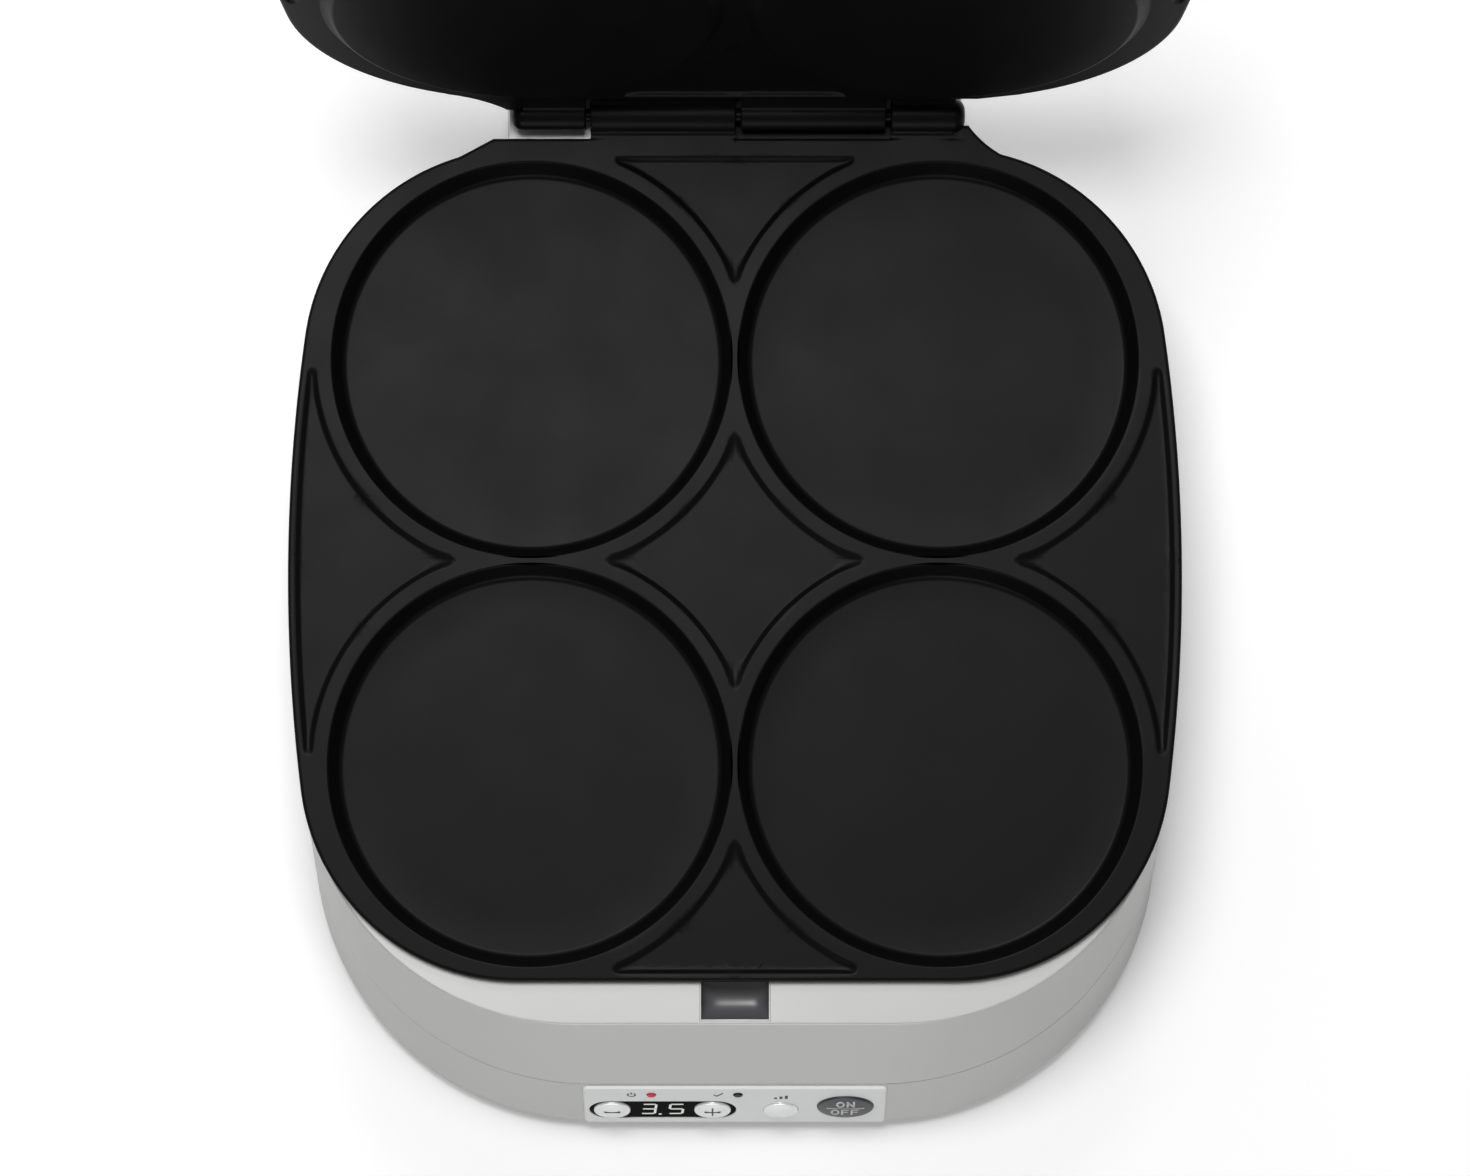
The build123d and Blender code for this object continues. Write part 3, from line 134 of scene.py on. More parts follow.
@dataclass
class Surface:
    """Points and faces of a mesh as it grows."""

    points: list[Array] = field(default_factory=list)
    faces: list[Array] = field(default_factory=list)
    count: int = 0

    def add(self, points: Array, *faces: Array) -> None:
        """Adds points, with faces counted from their first point.

        Args:
            points: Array of x, y, z rows.
            faces: Arrays of indices, one row a face.
        """
        self.points.append(points)
        self.faces.extend(group + self.count for group in faces)
        self.count += len(points)

    def loft(self, rings: Array, middles: Sequence[Sequence[float]] = (), turned: bool = False) -> "Surface":
        """Joins closed rings in a row and closes both ends.

        Args:
            rings: Points by ring, place in the ring and axis.
            middles: The points that the ends fan out from; without them each end is one face.
            turned: Whether every face looks the other way.

        Returns:
            The surface itself.
        """
        rows, n = rings.shape[:2]
        near = np.arange(n)
        far = near + (rows - 1) * n
        points = rings.reshape(-1, 3)
        if len(middles):
            points = np.vstack([points, middles])
            ends = [fan_faces(rows * n, near)[:, ::-1], fan_faces(rows * n + 1, far)]
        else:
            ends = [near[None, ::-1], far[None, :]]
        groups = [grid_faces(rows, n, True), *ends]
        self.add(points, *(group[:, ::-1] if turned else group for group in groups))
        return self

    def mirrored(self) -> "Surface":
        """The same surface on the other side of X = 0, with its faces turned back outwards."""
        points = [p * np.array([-1.0, 1.0, 1.0]) for p in self.points]
        return Surface(points, [group[:, ::-1] for group in self.faces], self.count)

    def join(self, other: "Surface") -> None:
        """Adds another surface's points and faces.

        Args:
            other: The surface to add.
        """
        self.points.extend(other.points)
        self.faces.extend(group + self.count for group in other.faces)
        self.count += other.count

    def placed(self, place: "Place") -> "Surface":
        """The surface moved from the frame that it was drawn in to the object's."""
        return Surface([p @ place.axes.T + place.origin for p in self.points], self.faces, self.count)


def make_piece(
    name: str, shape: Surface | bpy.types.Mesh, material: bpy.types.Material, smooth_angle: float = 35.0
) -> bpy.types.Object:
    """Makes a linked object: merges double points, drops faces without area, and smooths.

    Args:
        name: The object's name.
        shape: A surface in millimetres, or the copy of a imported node's mesh.
        material: The finish.
        smooth_angle: Edges sharper than this many degrees stay sharp.

    Returns:
        The new object.
    """
    mesh = shape
    if isinstance(shape, Surface):
        mesh = bpy.data.meshes.new(name)
        faces = [face for group in shape.faces for face in group.tolist()]
        mesh.from_pydata((np.vstack(shape.points) * MM).tolist(), [], faces)
    work = bmesh.new()
    work.from_mesh(mesh)
    bmesh.ops.remove_doubles(work, verts=work.verts, dist=WELD)
    bmesh.ops.dissolve_degenerate(work, edges=work.edges, dist=SHORTEST)
    work.to_mesh(mesh)
    work.free()
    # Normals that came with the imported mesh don't fit its merged points.
    if "custom_normal" in mesh.attributes:
        mesh.attributes.remove(mesh.attributes["custom_normal"])
    mesh.materials.clear()
    mesh.materials.append(material)
    mesh.polygons.foreach_set("material_index", np.zeros(len(mesh.polygons), dtype=np.int32))
    mesh.polygons.foreach_set("use_smooth", np.ones(len(mesh.polygons), dtype=bool))
    mesh.set_sharp_from_angle(angle=radians(smooth_angle))
    mesh.update()
    return add_object(name, mesh)


def settle(piece: bpy.types.Object, body: str, node: str = "") -> bpy.types.Object:
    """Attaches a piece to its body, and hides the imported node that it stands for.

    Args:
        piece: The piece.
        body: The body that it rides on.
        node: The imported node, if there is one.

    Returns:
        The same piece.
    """
    if node:
        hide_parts(node)
    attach(piece, body)
    return piece


# Finishes

# The range in which soft noise spends most of its time, and the strength of the grain's bumps
NOISE_LOW = 0.3
NOISE_HIGH = 0.7
GRAIN_STRENGTH = 0.6
GRAIN_DETAIL = 2.0
PATCH_DETAIL = 3.0
SMOOTHEST = 0.02


def linear(hex_colour: str) -> tuple[float, float, float, float]:
    """Turns an sRGB hex colour to linear.

    Args:
        hex_colour: Six hex digits.

    Returns:
        Linear red, green and blue, and full opacity.
    """
    parts = [int(hex_colour[i:i + 2], 16) / 255 for i in (0, 2, 4)]
    values = [c / 12.92 if c <= 0.04045 else ((c + 0.055) / 1.055) ** 2.4 for c in parts]
    return (values[0], values[1], values[2], 1.0)


def empty_tree(owner: bpy.types.Material | bpy.types.World) -> bpy.types.NodeTree:
    """The node tree of a material or a world, with nothing in it.

    Args:
        owner: The material or the world.

    Returns:
        The tree.
    """
    owner.use_nodes = True
    owner.node_tree.nodes.clear()
    return owner.node_tree


def add_node(
    tree: bpy.types.NodeTree, kind: str, settings: dict[str, Any] | None = None, **inputs: Any
) -> bpy.types.Node:
    """Adds a node, sets its settings and sets or links its inputs.

    Args:
        tree: The node tree.
        kind: The node's type.
        settings: Attributes of the node.
        inputs: Socket names with underscores for spaces, or i and a socket's number; a value
            or another node's socket.

    Returns:
        The new node.
    """
    node = tree.nodes.new(kind)
    for name, value in (settings or {}).items():
        setattr(node, name, value)
    for name, value in inputs.items():
        numbered = name[0] == "i" and name[1:].isdigit()
        socket = node.inputs[int(name[1:]) if numbered else name.replace("_", " ")]
        if isinstance(value, bpy.types.NodeSocket):
            tree.links.new(value, socket)
        else:
            socket.default_value = value
    return node


@dataclass(frozen=True)
class Finish:
    """A moulded, cast or painted surface with a fine grain and a soft variation of its gloss.

    grain_mm is the size of one bump, grain_height_mm its height; mottle_mm is the size of
    the patches in which the gloss varies by mottle and the colour goes towards shade.
    """

    name: str
    colour: str
    roughness: float = 0.4
    metallic: float = 0.0
    ior: float = 1.5
    coat: float = 0.0
    coat_roughness: float = 0.1
    grain_mm: float = 0.6
    grain_height_mm: float = 0.004
    mottle_mm: float = 25.0
    mottle: float = 0.05
    shade: str | None = None
    glow: float = 0.0

    def material(self) -> bpy.types.Material:
        """The finish's one material, made when it is first asked for."""
        return bpy.data.materials.get(self.name) or self.build()

    def build(self) -> bpy.types.Material:
        """Makes the node material.

        Returns:
            The material.
        """
        material = bpy.data.materials.new(self.name)
        tree = empty_tree(material)
        place = add_node(tree, "ShaderNodeTexCoord").outputs["Object"]
        grain = add_node(
            tree, "ShaderNodeTexNoise", Vector=place, Scale=1 / (self.grain_mm * MM), Detail=GRAIN_DETAIL
        )
        bump = add_node(
            tree, "ShaderNodeBump", Strength=GRAIN_STRENGTH, Distance=self.grain_height_mm * MM,
            Height=grain.outputs["Fac"],
        )
        shader = add_node(
            tree, "ShaderNodeBsdfPrincipled", Base_Color=linear(self.colour), Roughness=self.roughness,
            Normal=bump.outputs["Normal"], Metallic=self.metallic, Coat_Weight=self.coat,
            Coat_Roughness=self.coat_roughness,
        )
        if self.mottle or self.shade:
            self.vary(tree, place, shader)
        # A metal keeps the shader's own IOR.
        if self.metallic < 0.5:
            shader.inputs["IOR"].default_value = self.ior
        if self.glow:
            shader.inputs["Emission Color"].default_value = linear(self.colour)
            shader.inputs["Emission Strength"].default_value = self.glow
        add_node(tree, "ShaderNodeOutputMaterial", Surface=shader.outputs["BSDF"])
        return material

    def vary(self, tree: bpy.types.NodeTree, place: bpy.types.NodeSocket, shader: bpy.types.Node) -> None:
        """Lets the gloss, and the colour where there is a second one, change in soft patches.

        Args:
            tree: The material's node tree.
            place: The socket that gives the point on the object.
            shader: The surface's shader.
        """
        patches = add_node(
            tree, "ShaderNodeTexNoise", Vector=place, Scale=1 / (self.mottle_mm * MM), Detail=PATCH_DETAIL
        )
        if self.mottle:
            gloss = add_node(
                tree, "ShaderNodeMapRange", Value=patches.outputs["Fac"], From_Min=NOISE_LOW,
                From_Max=NOISE_HIGH, To_Min=max(self.roughness - self.mottle, SMOOTHEST),
                To_Max=self.roughness + self.mottle,
            )
            tree.links.new(gloss.outputs["Result"], shader.inputs["Roughness"])
        if self.shade:
            tint = add_node(tree, "ShaderNodeMix", {"data_type": "RGBA"}, Factor=patches.outputs["Fac"])
            tint.inputs["A"].default_value = linear(self.colour)
            tint.inputs["B"].default_value = linear(self.shade)
            tree.links.new(tint.outputs["Result"], shader.inputs["Base Color"])


# The real grains are 0.1 to 0.5 mm wide; each grain_mm is as coarse as it needs to be to show.

# PTFE sprayed on die-cast aluminium: nearly black, matt, with a fine orange-peel grain.
PTFE_COATING = Finish(
    "ptfe_coated_die_cast_aluminium", "0C0C0D", 0.42, ior=1.18, grain_mm=1.3, grain_height_mm=0.01,
    mottle=0.02, shade="0F0F10",
)
# Silver lacquer over moulded polypropylene: pale and satin, its flakes give a faint metal sheen.
SILVER_LACQUER = Finish(
    "silver_lacquered_polypropylene", "C8C8C7", 0.4, 0.2, grain_mm=0.7, grain_height_mm=0.003,
    mottle=0.02, shade="C6C6C5",
)
# Moulded glass-filled nylon: dark grey with a soft sheen and a spark-eroded grain.
MOULDED_NYLON = Finish("moulded_nylon", "555557", 0.34, grain_mm=0.9, grain_height_mm=0.008)
# Silver painted ABS: the panel's plate, smoother and a little paler than the housing.
PANEL_ABS = Finish(
    "silver_painted_abs", "FAFCFB", 0.34, grain_mm=0.5, grain_height_mm=0.002, shade="F6F8F7"
)
# Polished smoked acrylic: deep black with a clear reflection that wavers a little.
SMOKED_ACRYLIC = Finish(
    "smoked_acrylic", "040405", 0.2, ior=1.05, grain_mm=8.0, grain_height_mm=0.001, mottle=0.02
)
# Satin silver painted ABS: bright caps with a broad soft highlight.
BUTTON_ABS = Finish("satin_silver_abs", "F4F5F5", 0.24, 0.3, grain_mm=0.5, grain_height_mm=0.002)
# ABS dyed dark grey: a duller cap that still shows its rounded edge.
START_ABS = Finish("dark_grey_abs", "343438", 0.36)
# Cast red polycarbonate over a lit lamp: clear red with a little light of its own.
RED_LENS = Finish("red_polycarbonate", "C4142A", 0.2, ior=1.3, mottle=0.02, glow=0.12)
# Cast amber polycarbonate with its lamp off: brown-black with a small highlight.
DARK_LENS = Finish("amber_polycarbonate_unlit", "1E1614", 0.2, ior=1.2, mottle=0.02)
# Lit segments of a display: flat pale light without gloss.
LIT_DIGIT = Finish("lit_display_segment", "D8DCD8", 0.5, mottle=0.0, glow=0.35)
# Screen-printed grey and white ink: flat and matt on the glossier plastic.
DARK_INK = Finish("grey_screen_ink", "3C3E3E", 0.6, mottle=0.0)
PALE_INK = Finish("white_screen_ink", "D8D9D8", 0.6, mottle=0.0)
# Black oxide on turned steel: near black, with a dull highlight along the domes.
BLACKED_STEEL = Finish("blackened_steel", "0E0E0F", 0.34, ior=1.16, grain_mm=1.0, mottle=0.03)
# Turned and stamped steel of screws and clips: bright, with fine tool marks.
TURNED_STEEL = Finish("turned_steel", "B4B4B2", 0.3, 1.0, grain_mm=0.4, grain_height_mm=0.003)
# Rolled aluminium sheet: pale metal whose brightness drifts.
SHEET_ALUMINIUM = Finish("rolled_aluminium_sheet", "C4C6C8", 0.38, 1.0, shade="BBBDC0")
# Drawn steel tube tinted by heat: dull brown-grey metal.
ELEMENT_SHEATH = Finish("heat_tinted_steel_sheath", "6A645E", 0.45, 0.9, shade="57504B")
# Moulded rubber: dark and without gloss.
SOFT_RUBBER = Finish("moulded_rubber", "1E1E1E", 0.75, grain_mm=1.0, grain_height_mm=0.01)
# Solder mask on glass-fibre board: green under a thin gloss.
SOLDER_MASK = Finish("green_solder_mask", "14512B", 0.3, coat=0.3, shade="10431F")
# Moulded epoxy of electric parts: flat black.
DARK_EPOXY = Finish("moulded_black_epoxy", "1F1F20", 0.55)
# Undyed moulded nylon: warm white with a soft sheen.
WHITE_NYLON = Finish("white_nylon", "D9D7CE", 0.45, shade="D2D0C6")


# Outlines in plan

@dataclass(frozen=True)
class Outline:
    """Straight front and rear, bowed sides and round corners, centred on the plates."""

    half_width: float
    front: float
    rear: float
    radius: float
    bow: float = 650.0
    corner_steps: int = 220
    side_steps: int = 90
    end_steps: int = 8

    @property
    def side(self) -> float:
        """Distance right of the middle of the right-hand side's own centre, which is negative."""
        return self.half_width - self.bow

    def corner(self, rear: bool) -> tuple[Array, float]:
        """Centre of one right-hand corner arc and the depth of its straight end.

        The corner's circle touches the side's circle from inside: the distance of their
        centres is the difference of their radii.

        Args:
            rear: Whether it is the rear corner.

        Returns:
            The centre with y towards that end, and that end's distance.
        """
        end = self.rear if rear else self.front
        across = self.side + sqrt((self.bow - self.radius) ** 2 - (end - self.radius) ** 2)
        return np.array([across, end - self.radius]), end

    def quarter(self, rear: bool) -> Array:
        """Right-hand quarter from the side's middle to the end's middle, as x and y >= 0.

        Args:
            rear: Whether it runs to the rear.

        Returns:
            The points in order.
        """
        centre, end = self.corner(rear)
        side = np.array([self.side, 0.0])
        lean = atan2(centre[1], centre[0] - self.side)
        bowed = side + self.bow * unit(np.linspace(0, lean, self.side_steps)[:-1])
        rounded = centre + self.radius * unit(np.linspace(lean, pi / 2, self.corner_steps))
        across = np.linspace(centre[0], 0, self.end_steps + 1)[1:]
        return np.vstack([bowed, rounded, np.stack([across, np.full(self.end_steps, end)], -1)])

    def loop(self) -> Array:
        """The whole outline as a closed ring, counter-clockwise from the right-hand side's middle.

        Returns:
            Points as x and y, the first not repeated.
        """
        rear = self.quarter(True)
        front = self.quarter(False) * [1, -1]
        flip = np.array([-1, 1])
        return np.vstack([rear, (rear * flip)[::-1][1:], (front * flip)[1:], front[::-1][1:-1]])

    def depth_inside(self, x: Array, y: Array) -> Array:
        """Distance of points from the outline, positive inside.

        In a corner's sector it is the radius less the distance to the corner's centre;
        elsewhere the least of the distances to the end's line and the side's circle.

        Args:
            x: Distances right of the middle.
            y: Distances behind the middle.

        Returns:
            The distances.
        """
        right = np.abs(x)
        result = np.empty_like(right)
        for rear in (True, False):
            chosen = (y >= 0) if rear else (y < 0)
            centre, end = self.corner(rear)
            across, up = right[chosen], np.abs(y[chosen])
            flat = np.minimum(end - up, self.bow - np.hypot(across - self.side, up))
            turned = (centre[0] - self.side) * (up - centre[1]) - centre[1] * (across - centre[0])
            sector = (across > centre[0]) & (turned > 0)
            round_part = self.radius - np.hypot(across - centre[0], up - centre[1])
            result[chosen] = np.where(sector, round_part, flat)
        return result


def ring_depth(x: Array, y: Array, ring: Array) -> Array:
    """Distance inside a closed ring of straight edges.

    It is the least distance to an edge; a point is inside where a line to its right crosses
    the ring an odd number of times.

    Args:
        x: Distances right of the middle.
        y: Distances behind the middle.
        ring: The ring's corners.

    Returns:
        The distances, negative outside.
    """
    nearest = np.full(np.shape(x), np.inf)
    crossings = np.zeros(np.shape(x), dtype=int)
    for start, end in zip(ring, np.roll(ring, -1, axis=0)):
        along = end - start
        share = ((x - start[0]) * along[0] + (y - start[1]) * along[1]) / (along @ along)
        share = np.clip(share, 0, 1)
        gap = np.hypot(x - start[0] - share * along[0], y - start[1] - share * along[1])
        nearest = np.minimum(nearest, gap)
        if start[1] != end[1]:
            level = start[0] + (y - start[1]) * along[0] / along[1]
            crossings += ((start[1] > y) != (end[1] > y)) & (x < level)
    return np.where(crossings % 2 == 1, nearest, -nearest)


def soft_least(first: Array, second: Array, width: float) -> Array:
    """Least of two distances, rounded by a parabola where they differ by less than width."""
    share = np.clip(0.5 + 0.5 * (second - first) / width, 0, 1)
    return second * (1 - share) + first * share - width * share * (1 - share)


def ray_reach(ring: Array, centre: Array, angles: Array) -> Array:
    """Distance from a centre to a star-shaped ring along each angle.

    The ring's edges are met exactly: each ray is crossed with the edge that spans it.

    Args:
        ring: Closed ring of points, counter-clockwise.
        centre: The point inside it.
        angles: Directions in radians.

    Returns:
        One distance for each angle.
    """
    away = ring - centre
    turn = np.unwrap(np.arctan2(away[:, 1], away[:, 0]))
    turn = np.append(turn, turn[0] + 2 * pi)
    away = np.vstack([away, away[:1]])
    wanted = turn[0] + np.mod(angles - turn[0], 2 * pi)
    index = np.clip(np.searchsorted(turn, wanted, side="right") - 1, 0, len(ring) - 1)
    start, edge, ray = away[index], away[index + 1] - away[index], unit(angles)
    top = start[:, 0] * edge[:, 1] - start[:, 1] * edge[:, 0]
    return top / (ray[:, 0] * edge[:, 1] - ray[:, 1] * edge[:, 0])


def arc_corner(before: Array, corner: Array, after: Array, radius: float, steps: int) -> Array:
    """Points of the arc that rounds one corner of a profile.

    The arc touches both legs; its centre lies on the corner's bisector.

    Args:
        before: The point before the corner.
        corner: The corner.
        after: The point after it.
        radius: The arc's radius.
        steps: Number of points.

    Returns:
        The arc's points from the first leg to the second.
    """
    first, second = direction(before - corner), direction(after - corner)
    half = np.arccos(np.clip(first @ second, -1, 1)) / 2
    centre = corner + direction(first + second) * radius / sin(half)
    start = corner + first * radius / np.tan(half) - centre
    end = corner + second * radius / np.tan(half) - centre
    sweep = pi - 2 * half
    share = np.linspace(0, 1, steps)[:, None]
    return centre + (np.sin((1 - share) * sweep) * start + np.sin(share * sweep) * end) / sin(sweep)


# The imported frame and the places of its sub-assemblies

@dataclass(frozen=True)
class Place:
    """A frame that a sub-assembly is built in: its origin and its axes as columns."""

    origin: Array
    axes: Array


@dataclass(frozen=True)
class Packed:
    """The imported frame: its nodes by name, its joints and its record."""

    nodes: dict[str, bpy.types.Object]
    joints: list[dict[str, Any]]
    record: dict[str, Any]

    def joint(self, name: str) -> dict[str, Any]:
        """The joint with that name."""
        return next(joint for joint in self.joints if joint["name"] == name)

    def points(self, node: str) -> Array:
        """Points of one node in millimetres.

        Args:
            node: The node's name.

        Returns:
            One row a point.
        """
        piece = self.nodes[node]
        points = np.empty(len(piece.data.vertices) * 3)
        piece.data.vertices.foreach_get("co", points)
        turn = np.array(piece.matrix_world)
        return (points.reshape(-1, 3) @ turn[:3, :3].T + turn[:3, 3]) / MM


@dataclass(frozen=True)
class Hinge:
    """The hinge's axis, as distance back and height, and the lid's open angle."""

    back: float
    height: float
    angle: float

    @property
    def setback(self) -> float:
        """How far the plates' middle lies in front of the origin."""
        return HINGE_BACK - self.back

    @property
    def rise(self) -> float:
        """Height of the axis over the lower rims."""
        return self.height - PLATE_TOP

    def base_place(self, height: float) -> Place:
        """Frame parallel to the table, centred on the lower plate, at a height over the table."""
        return Place(np.array([0.0, -self.setback, height]), np.eye(3))

    def lid_place(self) -> Place:
        """Frame of the open lid's plate, with z out of its face and x to the left.

        Returns:
            The place.
        """
        back = np.array([0.0, cos(self.angle), -sin(self.angle)])
        up = np.array([0.0, sin(self.angle), cos(self.angle)])
        origin = np.array([0.0, self.back, self.height]) - back * HINGE_BACK + up * (PLATE_GAP - self.rise)
        return Place(origin, np.stack([np.array([-1.0, 0.0, 0.0]), back, -up], -1))


# The cooking plates

class Form(Enum):
    """The round forms of a plate: wells below its face or pads above it."""

    WELL = -1
    PAD = 1


@dataclass
class CookingPlate:
    """One cast plate: four round wells or pads, five shallow panels and two hinge knuckles.

    Its frame has z out of the face and y to the hinge; spans are the knuckles' ends, the
    outer one first, and right of that one the tab runs out in a hollow-sided tip. Below,
    side is 1 for the side with the tip and -1 for the other one, end is 1 for the rear and
    -1 for the front, x is the distance to that side of the middle and y that behind it.
    """

    name: str
    place: Place
    form: Form
    spans: tuple[tuple[float, float], ...]
    hinge_rise: float
    shelf: tuple[float, float] | None = None
    # The round forms
    well_middle: float = 75.0
    rim_radius: float = 73.6
    inner_radius: float = 70.0
    depth: float = 9.0
    inner_round: float = 2.5
    rim_round: float = 0.9
    back_radius: float = 73.0
    back: float = 12.0
    # The land round them and its panels
    half_width: float = 164.0
    front: float = 154.0
    rear: float = 154.0
    corner: float = 80.0
    flange: float = 4.0
    edge_round: float = 1.1
    ring_radius: float = 79.0
    panel_depth: float = 1.4
    panel_border: float = 2.4
    panel_slope: float = 2.4
    panel_blend: float = 2.6
    end_panel_height: float = 3.5
    side_panel_reach: float = 72.0
    # The rear tab, its tip, the barrels and the shelf
    tab_edge: float = 157.5
    tab_half: float = 89.5
    tab_root_half: float = 107.0
    tab_root: float = 148.0
    tip_land: float = 5.9
    tip_drop: float = 3.5
    tip_hollow: float = 2.1
    barrel_radius: float = 6.1
    barrel_round: float = 0.7
    barrel_fillet: float = 2.0
    cap_land: float = 0.5
    shelf_back: float = 169.0
    shelf_gap: float = 0.5
    shelf_thickness: float = 2.0
    shelf_wall: float = 3.0
    shelf_barrel: float = 5.4
    shelf_sunk: float = 0.01
    # Radii of the flat middle's rows, distances of the last rows from the edge, and counts of steps
    flat_rows: tuple[float, float] = (20.0, 55.0)
    edge_rows: tuple[float, ...] = (1.3, 0.75, 0.45, 0.2, 0.06, 0.0)
    edge_start: float = 1.6
    land_steps: int = 34
    arc_steps: int = 6
    tip_steps: int = 25
    fillet_steps: int = 7
    barrel_steps: int = 48
    # Degrees between rays, the same near a turn, how near that is, and what counts as one ray, in radians
    ray_step: float = 2.0
    close_step: float = 0.3
    close_half: float = 3.0
    same_ray: float = 1e-5
    notch_gap: float = 1e-4
    # Samples along a ray; a row's weight where the land is flat, for its slope and at its start
    samples: int = 300
    flat_weight: float = 0.35
    slope_weight: float = 7.0
    start_weight: float = 0.5
    start_share: float = 0.04
    passes: int = 3
    smooth_angle: float = 40.0

    def __post_init__(self) -> None:
        """Works out the plan outlines and the half width of the end panels."""
        self.outline = Outline(self.half_width, self.front, self.rear, self.corner)
        self.full_outline = Outline(self.half_width, self.front, self.front, self.corner)
        reach = self.rear - self.panel_border - self.end_panel_height - self.well_middle
        self.end_panel_half = self.well_middle - sqrt(self.ring_radius**2 - reach**2)

    def notch(self) -> Array:
        """The point where the tip meets the outer barrel."""
        return np.array([self.spans[0][1], HINGE_BACK - self.tip_drop])

    def tip_side(self) -> Array:
        """Right-hand side of the tab with the tip, from its root to the notch at the barrel.

        The hollow side is an arc through both ends whose greatest distance from the straight
        line is tip_hollow. The notch's side points at the well's middle.

        Returns:
            The points in order.
        """
        start, notch = np.array([self.tab_root_half, self.tab_root]), self.notch()
        end = notch + [self.tip_land, 0.0]
        chord = np.linalg.norm(end - start)
        along = (end - start) / chord
        across = np.array([-along[1], along[0]])
        radius = (chord**2 / 4 + self.tip_hollow**2) / (2 * self.tip_hollow)
        half = np.arcsin(chord / 2 / radius)
        turn = np.linspace(-half, half, self.tip_steps)[:, None]
        rise = radius * np.cos(turn) - radius + self.tip_hollow
        hollow = (start + end) / 2 + along * radius * np.sin(turn) + across * rise
        share = (self.tab_edge - self.well_middle) / (notch[1] - self.well_middle)
        inner = np.array([self.well_middle + (notch[0] - self.well_middle) * share, self.tab_edge])
        return np.vstack([hollow, notch, inner])

    def tab(self, side: int) -> Array:
        """Ring of the rear tab as seen from one side, drawn alike on both sides.

        Args:
            side: The side.

        Returns:
            The ring, counter-clockwise, with that side to the right.
        """
        straight = [(self.tab_root_half, self.tab_root), (self.tab_half, self.tab_edge)]
        right = np.vstack([(self.tab_root_half, 0.0), self.tip_side() if side > 0 else straight])
        return np.vstack([right, (right * [-1, 1])[::-1]])

    def edge_depth(self, x: Array, y: Array, side: int) -> Array:
        """Distance inside the plate's edge: the greatest of the outline's, tab's and webs'.

        Args:
            x: Distances across.
            y: Distances back.
            side: The side.

        Returns:
            The distances.
        """
        depth = self.outline.depth_inside(x, y)
        near = y > self.tab_root - 2 * self.tip_drop
        across, along = x[near], y[near]
        best = np.maximum(depth[near], ring_depth(across, along, self.tab(side)))
        for span in self.spans:
            left, right = sorted(side * stop for stop in span)
            web = np.array([(left, 0.0), (right, 0.0), (right, HINGE_BACK), (left, HINGE_BACK)])
            best = np.maximum(best, ring_depth(across, along, web))
        depth[near] = best
        return depth

    def land_height(self, x: Array, y: Array, side: int) -> Array:
        """Height of the land round the wells.

        A panel sinks by a smooth step over panel_slope from its edge. Its edge is the least of
        the distances to the rings and the border and the cross's greater one. The plate's edge
        falls by a quarter circle.

        Args:
            x: Distances across.
            y: Distances back.
            side: The side.

        Returns:
            Heights over the rims.
        """
        middle = self.well_middle
        inside = self.full_outline.depth_inside(x, y) - self.panel_border
        for across in (-middle, middle):
            for back in (-middle, middle):
                ring = np.hypot(x - across, y - back) - self.ring_radius
                inside = soft_least(inside, ring, self.panel_blend)
        ends = np.minimum(self.end_panel_half - np.abs(x), self.rear - self.panel_border - y)
        cross = np.maximum(self.side_panel_reach - np.abs(y), ends)
        inside = soft_least(inside, cross, self.panel_blend)
        share = np.clip(inside / self.panel_slope, 0, 1)
        sunk = self.panel_depth * share * share * (3 - 2 * share)
        near = np.clip(self.edge_round - self.edge_depth(x, y, side), 0, self.edge_round)
        return -sunk - (self.edge_round - np.sqrt(self.edge_round**2 - near**2))

    def round_rows(self) -> Array:
        """Profile of one well or pad from its middle to the land, its two corners rounded.

        Returns:
            A radius and a height in each row.
        """
        level = self.form.value * self.depth
        inner, rim = np.array([self.inner_radius, level]), np.array([self.rim_radius, 0.0])
        middle, land = np.array([0.0, level]), np.array([self.ring_radius, 0.0])
        low = arc_corner(middle, inner, rim, self.inner_round, self.arc_steps + 1)
        high = arc_corner(inner, rim, land, self.rim_round, self.arc_steps)
        return np.vstack([[(radius, level) for radius in self.flat_rows], low, high])

    def ray_angles(self, end: int, side: int) -> Array:
        """Directions of the rays that leave a well's middle, closer where a form turns sharply.

        There is one every ray_step, one every close_step near a turn, one to each corner of
        the quarter and, in place of the one to the notch, one on either side of it.

        Args:
            end: The end.
            side: The side.

        Returns:
            The angles in radians, in order.
        """
        middle = self.well_middle
        edge = self.tab_edge if end > 0 else -self.front
        corners = [(0.0, edge), (self.half_width, 0.0), (0.0, 0.0)]
        if end > 0:
            corners += [tuple(point) for point in self.tab(side) if point[0] > 0 and point[1] > 0]
        fixed = [atan2(point[1] - end * middle, point[0] - middle) for point in corners]
        reach = sqrt(self.ring_radius**2 - middle**2)
        turns = [
            (self.end_panel_half, self.front - self.panel_border),
            (0.0, (self.rear if end > 0 else self.front) - self.panel_border),
            (middle + self.ring_radius, self.side_panel_reach), (self.half_width - self.panel_border, 0.0),
            (0.0, middle + reach), (0.0, middle - reach), (middle - reach, 0.0), (middle + reach, 0.0),
        ]
        close = np.degrees([atan2(end * (point[1] - middle), point[0] - middle) for point in turns])
        fine = np.arange(-self.close_half, self.close_half + 0.01, self.close_step)
        fine = np.mod((close[:, None] + fine).ravel(), 360)
        even = np.concatenate([np.arange(0, 360, self.ray_step), fine])
        angles = np.sort(np.mod(np.concatenate([np.radians(even), fixed]), 2 * pi))
